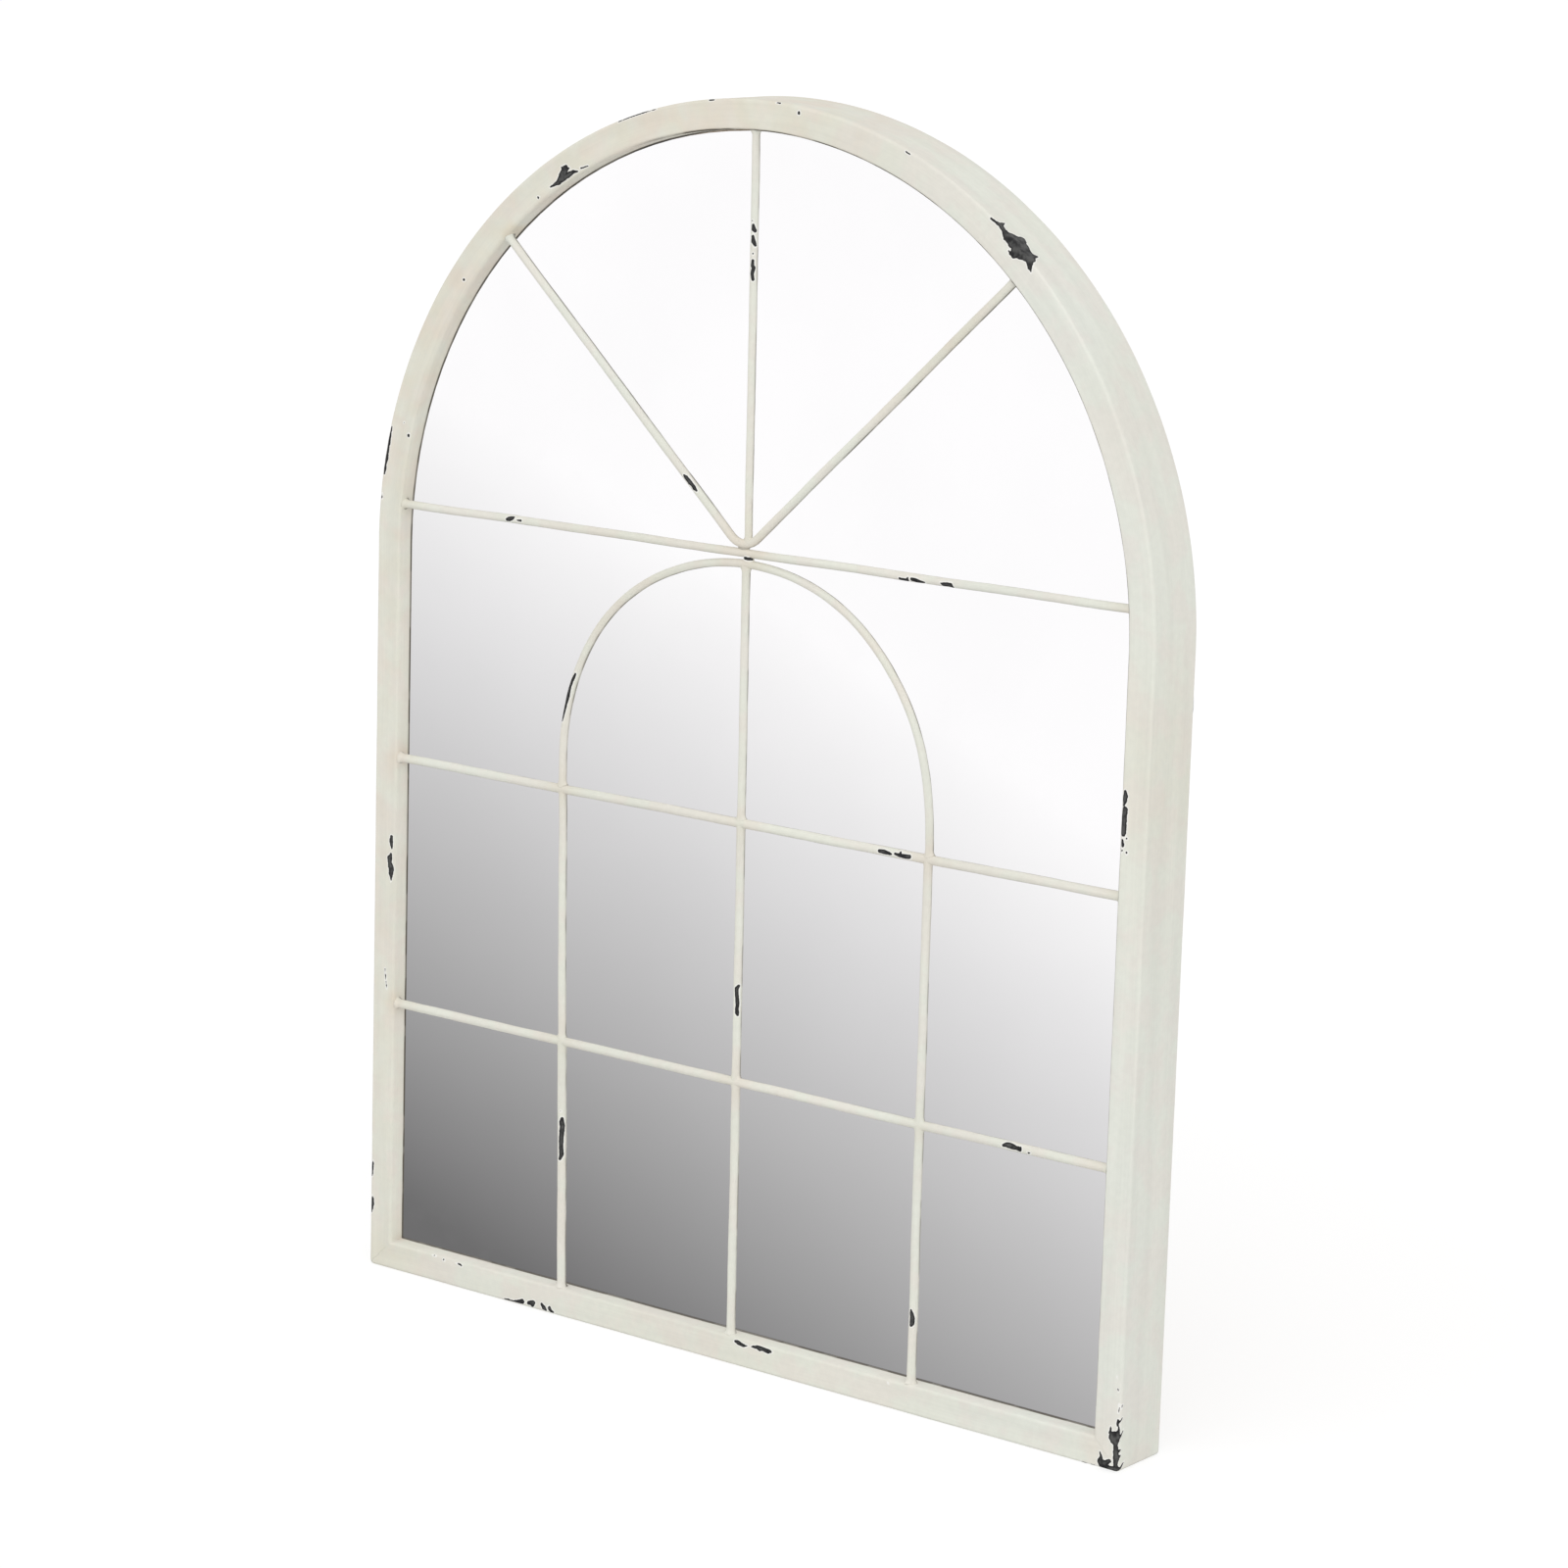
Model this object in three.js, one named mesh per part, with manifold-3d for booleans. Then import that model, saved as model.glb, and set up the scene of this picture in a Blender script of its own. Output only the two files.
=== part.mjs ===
// Arched window mirror: a welded steel frame with window bars in front of a silvered glass.
//
// Millimetres. +X is to the viewer's right, +Y points back to the wall, +Z is up. Everything is
// drawn with Y = 0 on the frame's front face and Z = 0 under its bottom rail, and the finished
// group is then moved so that the origin lies on the wall, midway between the two ring pivots.

import * as THREE from 'three';
import { mergeVertices } from 'three/addons/utils/BufferGeometryUtils.js';
import Module from 'manifold-3d';

// Frame: rectangular tube, rolled to a half circle above two straight legs, mitred at the foot.
const WIDTH = 610;
const HEIGHT = 800;
const TUBE_FACE = 19;
const TUBE_DEPTH = 45;
const TUBE_WALL = 1.2;
const TUBE_EDGE_RADIUS = 2;

// Window bars: round rod, welded edge to edge in one layer just behind the frame's face.
const ROD_DIAMETER = 5.5;
const ROD_SETBACK = 2;
const LOWER_RAIL_HEIGHT = 184.8;
const MIDDLE_RAIL_HEIGHT = 352;
const UPPER_RAIL_HEIGHT = 521.5;
const INNER_ARCH_RADIUS = 146;
const INNER_ARCH_BELOW_RAIL = 1.5;

// The V is bent and set by hand: how steep each spoke is, and how far to the right its bend stands.
const SPOKE_SLOPES = {
  left: THREE.MathUtils.degToRad(42.4),
  right: THREE.MathUtils.degToRad(43.2),
};
const FAN_SHIFT = -3.6;

// So are the uprights: how far to the right each column stands at its head and its foot.
const COLUMN_SHIFTS = {
  crown: { head: -2.8, foot: 0 },
  centre: { head: -1.3, foot: 3.1 },
  left: { head: 0, foot: 7.2 },
  right: { head: -0.9, foot: 0.1 },
};

// Welds: round its end, each rod widens by this much over this length.
const FILLET_WIDTH = 1.2;
const FILLET_LENGTH = 2.5;
const FILLET_TOE = 0.1;

// What is left between two pieces where a weld, a thread or a running fit lies between them.
const WELD_GAP = 0.3;
const THREAD_GAP = 0.3;
const PIVOT_CLEARANCE = 0.3;

// Mirror, the beads of mastic behind it and the board that they bond it to.
const GLASS_SETBACK = 11;
const GLASS_THICKNESS = 3;
const GLASS_EDGE_CLEARANCE = 1;
const GLASS_ARRIS = 0.4;
const MASTIC_THICKNESS = 1;
const MASTIC_BEAD_WIDTH = 12;
const MASTIC_BEAD_PITCH = 110;
const MASTIC_FROM_GLASS_EDGE = 30;
const BOARD_THICKNESS = 6;
const BOARD_EDGE_CLEARANCE = 0.5;

// Lugs: small bent angles, welded inside the frame, that the board is screwed to.
const LUG_THICKNESS = 1.5;
const LUG_WIDTH = 18;
const LUG_WELDED_LEG = 14;
const LUG_BOARD_LEG = 17;
const LUG_BEND_RADIUS = 1.5;
const LUG_HEIGHTS_ON_LEGS = { lower: 120, upper: 400 };
const LUG_ANGLES_ON_ARCH = { right: 40, crown: 90, left: 140 };
const LUG_OFFSET_ON_BOTTOM = 160;
const BOARD_LEFT_AT_SCREW_TIP = 1.5;
const BOARD_SCREW = {
  shank: 3.5,
  length: LUG_THICKNESS + BOARD_THICKNESS - BOARD_LEFT_AT_SCREW_TIP,
  head: 8,
  headHeight: 2.4,
};

// Hangers: a strap folded round the straight bar of a D-shaped wire ring, on each leg's back, a
// little nearer the glass than the middle of the tube so that no ring shows past the side.
const PIVOT_HEIGHT = 470;
const HANGER_FROM_SIDE = 12.5;
const STRAP_THICKNESS = 1;
const STRAP_WIDTH = 11;
const STRAP_LENGTH = 46;
const STRAP_END_TO_HOLE = 7;
const RING_WIRE_DIAMETER = 3;
const RING_BEND_RADIUS = 2;
const RING_ARM_LENGTH = 7;
const RING_SIDE_CLEARANCE = 1;
const RING_TO_SCREW_CLEARANCE = 1;
const HANGER_SCREW = { shank: 3.4, length: 7, head: 6.6, headHeight: 2.2 };

// Rubber pads that keep the foot of the frame off the wall by as much as the hangers stand out.
const BUMPER_DIAMETER = 12;
const BUMPER_FROM_SIDE = 24;
const BUMPER_CHAMFER = 1;

// Fineness of the round shapes.
const ARCH_SEGMENTS = 60;
const ROD_SIDES = 16;
const WIRE_SIDES = 10;
const HOLE_SIDES = 12;
const SCREW_SIDES = 10;

// Places that follow from the sizes above.
const halfWidth = WIDTH / 2;
const springHeight = HEIGHT - halfWidth;
const rodRadius = ROD_DIAMETER / 2;
const rodCentreY = ROD_SETBACK + rodRadius;
const wireRadius = RING_WIRE_DIAMETER / 2;
const hangerX = halfWidth - HANGER_FROM_SIDE;
const glassBackY = GLASS_SETBACK + GLASS_THICKNESS;
const boardFrontY = glassBackY + MASTIC_THICKNESS;
const boardBackY = boardFrontY + BOARD_THICKNESS;
const eyeInnerRadius = wireRadius + PIVOT_CLEARANCE;
const eyeOuterRadius = eyeInnerRadius + STRAP_THICKNESS;
const pivotY = TUBE_DEPTH + eyeOuterRadius;
const bumperThickness = 2 * eyeOuterRadius;
const wallY = TUBE_DEPTH + bumperThickness;
const copeRadius = rodRadius + WELD_GAP;
const ringArmX = STRAP_WIDTH / 2 + RING_SIDE_CLEARANCE + wireRadius;
const ringReach = RING_BEND_RADIUS + RING_ARM_LENGTH + ringArmX;
const strapHoleDistances = {
  upper: ringReach + wireRadius + RING_TO_SCREW_CLEARANCE + HANGER_SCREW.head / 2,
  lower: STRAP_LENGTH - STRAP_END_TO_HOLE,
};
const lugBendOuterRadius = LUG_BEND_RADIUS + LUG_THICKNESS;
const lugHoleFromWall = WELD_GAP + (lugBendOuterRadius + LUG_BOARD_LEG) / 2;

const wasm = await Module();
wasm.setup();

// ---------------------------------------------------------------------------------------------
// Solids: closed meshes that can be cut and joined.

/** Turns a closed three.js geometry into a solid that booleans can work on. */
function toSolid(geometry) {
  const bare = geometry.index ? geometry.toNonIndexed() : geometry.clone();
  bare.deleteAttribute('normal');
  bare.deleteAttribute('uv');
  const merged = mergeVertices(bare, 1e-4);
  return new wasm.Manifold(new wasm.Mesh({
    numProp: 3,
    vertProperties: Float32Array.from(merged.attributes.position.array),
    triVerts: Uint32Array.from(merged.index.array),
  }));
}

/** Turns a solid back into a three.js geometry with flat-shaded faces. */
function toGeometry(solid) {
  const mesh = solid.getMesh();
  const geometry = new THREE.BufferGeometry();
  geometry.setAttribute('position', new THREE.BufferAttribute(mesh.vertProperties, 3));
  geometry.setIndex(new THREE.BufferAttribute(mesh.triVerts, 1));
  geometry.computeVertexNormals();
  return geometry;
}

/** Extrudes a shape drawn in X and Z from one depth to another, its long edges rounded. */
function prism(shape, frontY, backY, { edge = 0, edgeSegments = 1, arcSegments = ARCH_SEGMENTS } = {}) {
  const geometry = new THREE.ExtrudeGeometry(shape, {
    depth: backY - frontY - 2 * edge,
    bevelEnabled: edge > 0,
    bevelThickness: edge,
    bevelSize: edge,
    bevelOffset: -edge,
    bevelSegments: edgeSegments,
    curveSegments: arcSegments / 2,
  });
  geometry.rotateX(Math.PI / 2);
  geometry.translate(0, backY - edge, 0);
  return geometry;
}

/** Lays what stands on the origin along +Y among the rods: foot at (x, z), angle up from +X. */
function layAmongRods(geometry, x, z, angle) {
  geometry.rotateX(Math.PI / 2);
  geometry.rotateY(Math.PI / 2 - angle);
  geometry.translate(x, rodCentreY, z);
  return geometry;
}

/** A round bar right across the frame at one height. */
function crossBar(radius, z) {
  return layAmongRods(new THREE.CylinderGeometry(radius, radius, WIDTH, ROD_SIDES), 0, z, 0);
}

/** The weld round a rod's end: a cone that narrows along the rod from its seat at (x, z). */
function weldFillet(x, z, angle) {
  const height = FILLET_LENGTH + rodRadius / 2;
  const thin = rodRadius - FILLET_TOE;
  const cone = new THREE.CylinderGeometry(thin, rodRadius + FILLET_WIDTH, height, ROD_SIDES);
  cone.translate(0, FILLET_LENGTH - height / 2, 0);
  return toSolid(layAmongRods(cone, x, z, angle));
}

/** A straight rod from seat to seat, a little long for its copes, with a weld round each end. */
function weldedRod(fromX, fromZ, toX, toZ) {
  const length = Math.hypot(toX - fromX, toZ - fromZ);
  const angle = Math.atan2(toZ - fromZ, toX - fromX);
  const bar = new THREE.CylinderGeometry(rodRadius, rodRadius, length + ROD_DIAMETER, ROD_SIDES);
  bar.translate(0, length / 2, 0);
  return toSolid(layAmongRods(bar, fromX, fromZ, angle))
    .add(weldFillet(fromX, fromZ, angle))
    .add(weldFillet(toX, toZ, angle + Math.PI));
}

/** A round hole or plug that runs from front to back. */
function drill(diameter, x, z, frontY, backY) {
  const geometry = new THREE.CylinderGeometry(diameter / 2, diameter / 2, backY - frontY, HOLE_SIDES);
  geometry.translate(x, (frontY + backY) / 2, z);
  return geometry;
}

/** A wire's centre line, of straight runs and bends in one upright plane, stepped only in bends. */
class BentWire extends THREE.Curve {
  constructor(y, runs) {
    super();
    this.y = y;
    this.stations = [{ curve: runs[0].curve, t: 0 }];
    for (const { curve, steps = 1 } of runs) {
      for (let step = 1; step <= steps; step += 1) this.stations.push({ curve, t: step / steps });
    }
  }

  get steps() {
    return this.stations.length - 1;
  }

  station(u) {
    return this.stations[Math.round(u * this.steps)];
  }

  getPointAt(u) {
    const { curve, t } = this.station(u);
    const point = curve.getPoint(t);
    return new THREE.Vector3(point.x, this.y, point.y);
  }

  getTangentAt(u) {
    const { curve, t } = this.station(u);
    const tangent = curve.getTangent(t);
    return new THREE.Vector3(tangent.x, 0, tangent.y);
  }
}

function line(fromX, fromZ, toX, toZ) {
  return { curve: new THREE.LineCurve(new THREE.Vector2(fromX, fromZ), new THREE.Vector2(toX, toZ)) };
}

function bend(x, z, radius, fromAngle, toAngle, steps) {
  const clockwise = toAngle < fromAngle;
  return { curve: new THREE.EllipseCurve(x, z, radius, radius, fromAngle, toAngle, clockwise), steps };
}

/** A round rod of the given radius along a bent wire's centre line. */
function bentBar(wire, radius) {
  const section = new THREE.Shape();
  section.absarc(0, 0, radius, 0, 2 * Math.PI);
  return new THREE.ExtrudeGeometry(section, {
    steps: wire.steps,
    extrudePath: wire,
    curveSegments: ROD_SIDES / 2,
  });
}

// ---------------------------------------------------------------------------------------------
// Materials.

function material(color, roughness, metalness) {
  return new THREE.MeshStandardMaterial({ color, roughness, metalness });
}

const creamPaint = () => material(0xdddacb, 0.75, 0);
const silveredGlass = () => material(0xdfe2e2, 0.03, 1);
const fibreboard = () => material(0x8a6a48, 0.9, 0);
const mastic = () => material(0xc9c2b2, 0.8, 0);
const zincPlate = () => material(0xb9bcc0, 0.35, 1);
const blackRubber = () => material(0x1f1f1f, 0.85, 0);

const mirror = new THREE.Group();

/** Adds one piece to the mirror, or to a group inside it. */
function addPiece(name, geometry, paint, parent = mirror) {
  const piece = new THREE.Mesh(geometry, paint);
  piece.name = name;
  parent.add(piece);
  return piece;
}

// ---------------------------------------------------------------------------------------------
// Outline that the frame, the glass and the board share: a half circle above two straight sides.

/** The mirror's outline, moved inwards by the same distance all round. */
function archOutline(inset, Outline = THREE.Shape) {
  const half = halfWidth - inset;
  const outline = new Outline();
  outline.moveTo(-half, inset);
  outline.lineTo(half, inset);
  outline.lineTo(half, springHeight);
  outline.absarc(0, springHeight, half, 0, Math.PI);
  outline.closePath();
  return outline;
}

/** Everything inside the frame's inner wall, less the weld gap, as deep as the frame. */
const frameOpening = toSolid(prism(archOutline(TUBE_FACE + WELD_GAP), 0, TUBE_DEPTH));

// ---------------------------------------------------------------------------------------------
// Frame: one closed loop of tube, cut at the two mitres into the bent arch and the bottom rail.

function tubeLoop() {
  const outside = archOutline(0);
  outside.holes.push(archOutline(TUBE_FACE, THREE.Path));
  const inside = archOutline(TUBE_WALL);
  inside.holes.push(archOutline(TUBE_FACE - TUBE_WALL, THREE.Path));
  const rounding = { edge: TUBE_EDGE_RADIUS, edgeSegments: 3 };
  const skin = toSolid(prism(outside, 0, TUBE_DEPTH, rounding));
  const hollow = toSolid(prism(inside, TUBE_WALL, TUBE_DEPTH - TUBE_WALL));
  return skin.subtract(hollow);
}

/** The wedge under the two 45 degree mitre cuts; a positive gap makes it wider. */
function mitreWedge(gap) {
  const reach = 2 * TUBE_FACE;
  const shift = gap * Math.SQRT2;
  const wedge = new THREE.Shape();
  wedge.moveTo(-halfWidth - reach - shift, -reach);
  wedge.lineTo(halfWidth + reach + shift, -reach);
  wedge.lineTo(halfWidth - reach + shift, reach);
  wedge.lineTo(-halfWidth + reach - shift, reach);
  wedge.closePath();
  return toSolid(prism(wedge, -TUBE_DEPTH, 2 * TUBE_DEPTH));
}

function buildFrame() {
  const loop = tubeLoop();
  let arch = loop.subtract(mitreWedge(WELD_GAP / 2));
  for (const x of [-hangerX, hangerX]) {
    for (const distance of Object.values(strapHoleDistances)) {
      const z = PIVOT_HEIGHT - distance;
      const hole = drill(HANGER_SCREW.shank + 2 * THREAD_GAP, x, z, TUBE_DEPTH / 2, 2 * TUBE_DEPTH);
      arch = arch.subtract(toSolid(hole));
    }
  }
  addPiece('frame_arch', toGeometry(arch), creamPaint());
  addPiece('frame_bottom_rail', toGeometry(loop.intersect(mitreWedge(-WELD_GAP / 2))), creamPaint());
}

// ---------------------------------------------------------------------------------------------
// Window bars. Rails run right across. Uprights are short rods, coped where they meet another
// rod. The V and the inner arch are bent from one rod each: the V stands on the upper rail, and
// the arch hangs a little below it on a bridge of weld.

const openingRadius = halfWidth - TUBE_FACE;
const spokesFoot = UPPER_RAIL_HEIGHT + ROD_DIAMETER + WELD_GAP;
const innerArchTop = UPPER_RAIL_HEIGHT - ROD_DIAMETER - INNER_ARCH_BELOW_RAIL;
const innerArchSpring = innerArchTop - INNER_ARCH_RADIUS;

// Where the middle rail lies above the half circle's ends, the arch starts part of the way round.
const innerArchStart = Math.asin(Math.max(0, MIDDLE_RAIL_HEIGHT - innerArchSpring) / INNER_ARCH_RADIUS);
const innerArchFootX = INNER_ARCH_RADIUS * Math.cos(innerArchStart);

/** The distance along a line from a point, at an angle, to the frame's half round inner wall. */
function distanceToArch(x, z, angle) {
  const rise = z - springHeight;
  const along = x * Math.cos(angle) + rise * Math.sin(angle);
  return Math.sqrt(along ** 2 - x ** 2 - rise ** 2 + openingRadius ** 2) - along;
}

// The V's bend lies on top of the upper rail.
const meanSlope = (SPOKE_SLOPES.left + SPOKE_SLOPES.right) / 2;
const spokeBendRadius = ROD_DIAMETER / (1 / Math.cos(meanSlope) - 1);

/** Where a spoke leaves the bend, its angle up from +X and its length from there to the arch. */
function spokeRun(side) {
  const slope = SPOKE_SLOPES[side];
  const right = side === 'right';
  const angle = right ? slope : Math.PI - slope;
  const x = FAN_SHIFT + (right ? 1 : -1) * spokeBendRadius * Math.sin(slope);
  const z = spokesFoot + spokeBendRadius * (1 - Math.cos(slope));
  return { x, z, angle, length: distanceToArch(x, z, angle) };
}

const spokes = { left: spokeRun('left'), right: spokeRun('right') };

/** A point on a spoke's centre line, that far past its seat on the arch. */
function pastSeat(spoke, distance) {
  return {
    x: spoke.x + (spoke.length + distance) * Math.cos(spoke.angle),
    z: spoke.z + (spoke.length + distance) * Math.sin(spoke.angle),
  };
}

/** The V's centre line, which runs on past the frame's inner wall at both ends. */
function spokeWire() {
  const { left, right } = spokes;
  const leftEnd = pastSeat(left, ROD_DIAMETER);
  const rightEnd = pastSeat(right, ROD_DIAMETER);
  const bendCentreZ = spokesFoot + spokeBendRadius;
  const [from, to] = [-Math.PI / 2 - SPOKE_SLOPES.left, -Math.PI / 2 + SPOKE_SLOPES.right];
  return new BentWire(rodCentreY, [
    line(leftEnd.x, leftEnd.z, left.x, left.z),
    bend(FAN_SHIFT, bendCentreZ, spokeBendRadius, from, to, 10),
    line(right.x, right.z, rightEnd.x, rightEnd.z),
  ]);
}

/** The inner arch's centre line: up the left leg, round the half circle and down the right. */
function innerArchWire() {
  const footZ = MIDDLE_RAIL_HEIGHT;
  const runs = [bend(0, innerArchSpring, INNER_ARCH_RADIUS, Math.PI - innerArchStart, innerArchStart, 40)];
  if (footZ < innerArchSpring) {
    runs.unshift(line(-innerArchFootX, footZ, -innerArchFootX, innerArchSpring));
    runs.push(line(innerArchFootX, innerArchSpring, innerArchFootX, footZ));
  }
  return new BentWire(rodCentreY, runs);
}

/** The columns of uprights: where each stands, and between which heights its shifts are given. */
const columns = {
  crown: { x: 0, footZ: spokesFoot, headZ: HEIGHT - TUBE_FACE },
  centre: { x: 0, footZ: TUBE_FACE, headZ: innerArchTop },
  left: { x: -innerArchFootX, footZ: TUBE_FACE, headZ: MIDDLE_RAIL_HEIGHT },
  right: { x: innerArchFootX, footZ: TUBE_FACE, headZ: MIDDLE_RAIL_HEIGHT },
};

/** A column's X at a height, on the straight line between its head and its foot. */
function columnX(column, z) {
  const { x, footZ, headZ } = columns[column];
  const { foot, head } = COLUMN_SHIFTS[column];
  return x + foot + (head - foot) * (z - footZ) / (headZ - footZ);
}

function buildRails() {
  const heights = {
    lower_rail: LOWER_RAIL_HEIGHT,
    middle_rail: MIDDLE_RAIL_HEIGHT,
    upper_rail: UPPER_RAIL_HEIGHT,
  };
  for (const [name, z] of Object.entries(heights)) {
    const wallX = z > springHeight ? distanceToArch(0, z, 0) : openingRadius;
    const rail = weldedRod(-wallX, z, wallX, z).intersect(frameOpening);
    addPiece(name, toGeometry(rail), creamPaint());
  }
}

function buildBentBars() {
  let fan = toSolid(bentBar(spokeWire(), rodRadius));
  for (const spoke of [spokes.left, spokes.right]) {
    const seat = pastSeat(spoke, 0);
    fan = fan.add(weldFillet(seat.x, seat.z, spoke.angle + Math.PI));
  }
  addPiece('spoke_rod', toGeometry(fan.intersect(frameOpening)), creamPaint());

  // The arch hangs from the upper rail on a bridge of weld, and stands on the middle one.
  const bridgeHeight = UPPER_RAIL_HEIGHT - innerArchTop;
  const bridge = new THREE.CylinderGeometry(rodRadius, rodRadius, bridgeHeight, ROD_SIDES);
  bridge.translate(0, bridgeHeight / 2, 0);
  const seatZ = MIDDLE_RAIL_HEIGHT + rodRadius;
  const innerArch = toSolid(bentBar(innerArchWire(), rodRadius))
    .add(toSolid(layAmongRods(bridge, 0, innerArchTop, Math.PI / 2)))
    .add(weldFillet(-innerArchFootX, seatZ, Math.PI / 2 - innerArchStart))
    .add(weldFillet(innerArchFootX, seatZ, Math.PI / 2 + innerArchStart))
    .subtract(toSolid(crossBar(copeRadius, UPPER_RAIL_HEIGHT)))
    .subtract(toSolid(crossBar(copeRadius, MIDDLE_RAIL_HEIGHT)));
  addPiece('inner_arch_rod', toGeometry(innerArch), creamPaint());
}

function buildUprights() {
  /** A short rod of a column, between two seats and coped to the rods that it ends on. */
  function addUpright(name, column, lowZ, highZ, neighbours) {
    let rod = weldedRod(columnX(column, lowZ), lowZ, columnX(column, highZ), highZ);
    rod = rod.intersect(frameOpening);
    for (const neighbour of neighbours) rod = rod.subtract(toSolid(neighbour));
    addPiece(name, toGeometry(rod), creamPaint());
  }

  const aroundLower = crossBar(copeRadius, LOWER_RAIL_HEIGHT);
  const aroundMiddle = crossBar(copeRadius, MIDDLE_RAIL_HEIGHT);
  const aroundSpokes = bentBar(spokeWire(), copeRadius);
  const aroundInnerArch = bentBar(innerArchWire(), copeRadius);
  const above = (rodZ) => rodZ + rodRadius;
  const below = (rodZ) => rodZ - rodRadius;

  addUpright('crown_upright', 'crown', above(spokesFoot), HEIGHT - TUBE_FACE, [aroundSpokes]);
  const underArch = [aroundMiddle, aroundInnerArch];
  addUpright('centre_upright_upper', 'centre', above(MIDDLE_RAIL_HEIGHT), below(innerArchTop), underArch);
  for (const column of ['left', 'centre', 'right']) {
    const between = [aroundLower, aroundMiddle];
    const [low, high] = [above(LOWER_RAIL_HEIGHT), below(MIDDLE_RAIL_HEIGHT)];
    addUpright(`${column}_upright_middle`, column, low, high, between);
    addUpright(`${column}_upright_lower`, column, TUBE_FACE, below(LOWER_RAIL_HEIGHT), [aroundLower]);
  }
}

// ---------------------------------------------------------------------------------------------
// Mirror: glass in front, beads of mastic behind it, and a fibreboard that carries both.

/** An upright bead of mastic, pressed flat, that stops short of the glass's edge at both ends. */
function beadGeometry(x) {
  const radius = MASTIC_BEAD_WIDTH / 2;
  const margin = TUBE_FACE + GLASS_EDGE_CLEARANCE + MASTIC_FROM_GLASS_EDGE;
  const lowZ = margin + radius;
  const highZ = springHeight + Math.sqrt((halfWidth - margin) ** 2 - x ** 2) - radius;
  const outline = new THREE.Shape();
  outline.absarc(x, lowZ, radius, Math.PI, 2 * Math.PI);
  outline.absarc(x, highZ, radius, 0, Math.PI);
  outline.closePath();
  return prism(outline, glassBackY, boardFrontY, { arcSegments: HOLE_SIDES / 2 });
}

function buildMirror() {
  const glassOutline = archOutline(TUBE_FACE + GLASS_EDGE_CLEARANCE);
  const glass = prism(glassOutline, GLASS_SETBACK, glassBackY, { edge: GLASS_ARRIS });
  addPiece('mirror_glass', glass, silveredGlass());

  const beads = { far_left: -2, left: -1, centre: 0, right: 1, far_right: 2 };
  for (const [place, step] of Object.entries(beads)) {
    addPiece(`mastic_bead_${place}`, beadGeometry(step * MASTIC_BEAD_PITCH), mastic());
  }

  let board = toSolid(prism(archOutline(TUBE_FACE + BOARD_EDGE_CLEARANCE), boardFrontY, boardBackY));
  for (const { x, z } of Object.values(lugPlaces()).map(boardScrewPlace)) {
    const tipY = boardBackY + LUG_THICKNESS - BOARD_SCREW.length - THREAD_GAP;
    const pilot = drill(BOARD_SCREW.shank + 2 * THREAD_GAP, x, z, tipY, 2 * boardBackY);
    board = board.subtract(toSolid(pilot));
  }
  addPiece('backing_board', toGeometry(board), fibreboard());
}

// ---------------------------------------------------------------------------------------------
// Lugs and their screws.

/**
 * Each lug's foot on the frame's inner wall, and the angle round the arch at which a wall faces
 * the middle the same way: 0 on the right leg, half a turn on the left one.
 */
function lugPlaces() {
  const wallX = halfWidth - TUBE_FACE;
  const places = {};
  for (const [level, z] of Object.entries(LUG_HEIGHTS_ON_LEGS)) {
    places[`right_${level}`] = { x: wallX, z, angle: 0 };
    places[`left_${level}`] = { x: -wallX, z, angle: Math.PI };
  }
  for (const [side, degrees] of Object.entries(LUG_ANGLES_ON_ARCH)) {
    const angle = THREE.MathUtils.degToRad(degrees);
    const x = wallX * Math.cos(angle);
    const z = springHeight + wallX * Math.sin(angle);
    places[`arch_${side}`] = { x, z, angle };
  }
  places.bottom_left = { x: -LUG_OFFSET_ON_BOTTOM, z: TUBE_FACE, angle: -Math.PI / 2 };
  places.bottom_right = { x: LUG_OFFSET_ON_BOTTOM, z: TUBE_FACE, angle: -Math.PI / 2 };
  return places;
}

/** The screw hole's place in a lug, in the frame's X and Z. */
function boardScrewPlace({ x, z, angle }) {
  return {
    x: x - lugHoleFromWall * Math.cos(angle),
    z: z - lugHoleFromWall * Math.sin(angle),
  };
}

/** A lug at the origin: one leg flat on a wall at X = 0, the other reaching out along +X. */
function lugGeometry() {
  const wall = WELD_GAP;
  const outer = lugBendOuterRadius;
  const edge = new THREE.Shape();
  edge.moveTo(wall, LUG_WELDED_LEG);
  edge.lineTo(wall, outer);
  edge.absarc(wall + outer, outer, outer, Math.PI, 1.5 * Math.PI);
  edge.lineTo(wall + LUG_BOARD_LEG, 0);
  edge.lineTo(wall + LUG_BOARD_LEG, LUG_THICKNESS);
  edge.absarc(wall + outer, outer, LUG_BEND_RADIUS, 1.5 * Math.PI, Math.PI, true);
  edge.lineTo(wall + LUG_THICKNESS, LUG_WELDED_LEG);
  edge.closePath();
  const strip = new THREE.ExtrudeGeometry(edge, {
    depth: LUG_WIDTH,
    bevelEnabled: false,
    curveSegments: 2,
  });
  strip.translate(0, 0, -LUG_WIDTH / 2);
  const holeDiameter = BOARD_SCREW.shank + 2 * THREAD_GAP;
  const hole = drill(holeDiameter, lugHoleFromWall, 0, -LUG_THICKNESS, 2 * LUG_THICKNESS);
  return toGeometry(toSolid(strip).subtract(toSolid(hole)));
}

/** A pan-head screw that points along -Y, with the seat under its head at the origin. */
function screwGeometry({ shank, length, head, headHeight }) {
  const tip = shank / 2;
  const profile = [
    new THREE.Vector2(0, -length),
    new THREE.Vector2(tip / 2, -length),
    new THREE.Vector2(tip, tip - length),
    new THREE.Vector2(tip, 0),
    new THREE.Vector2(head / 2, 0),
    new THREE.Vector2(head / 2, headHeight / 2),
    new THREE.Vector2(head / 3, headHeight),
    new THREE.Vector2(0, headHeight),
  ];
  return new THREE.LatheGeometry(profile, SCREW_SIDES);
}

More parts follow.
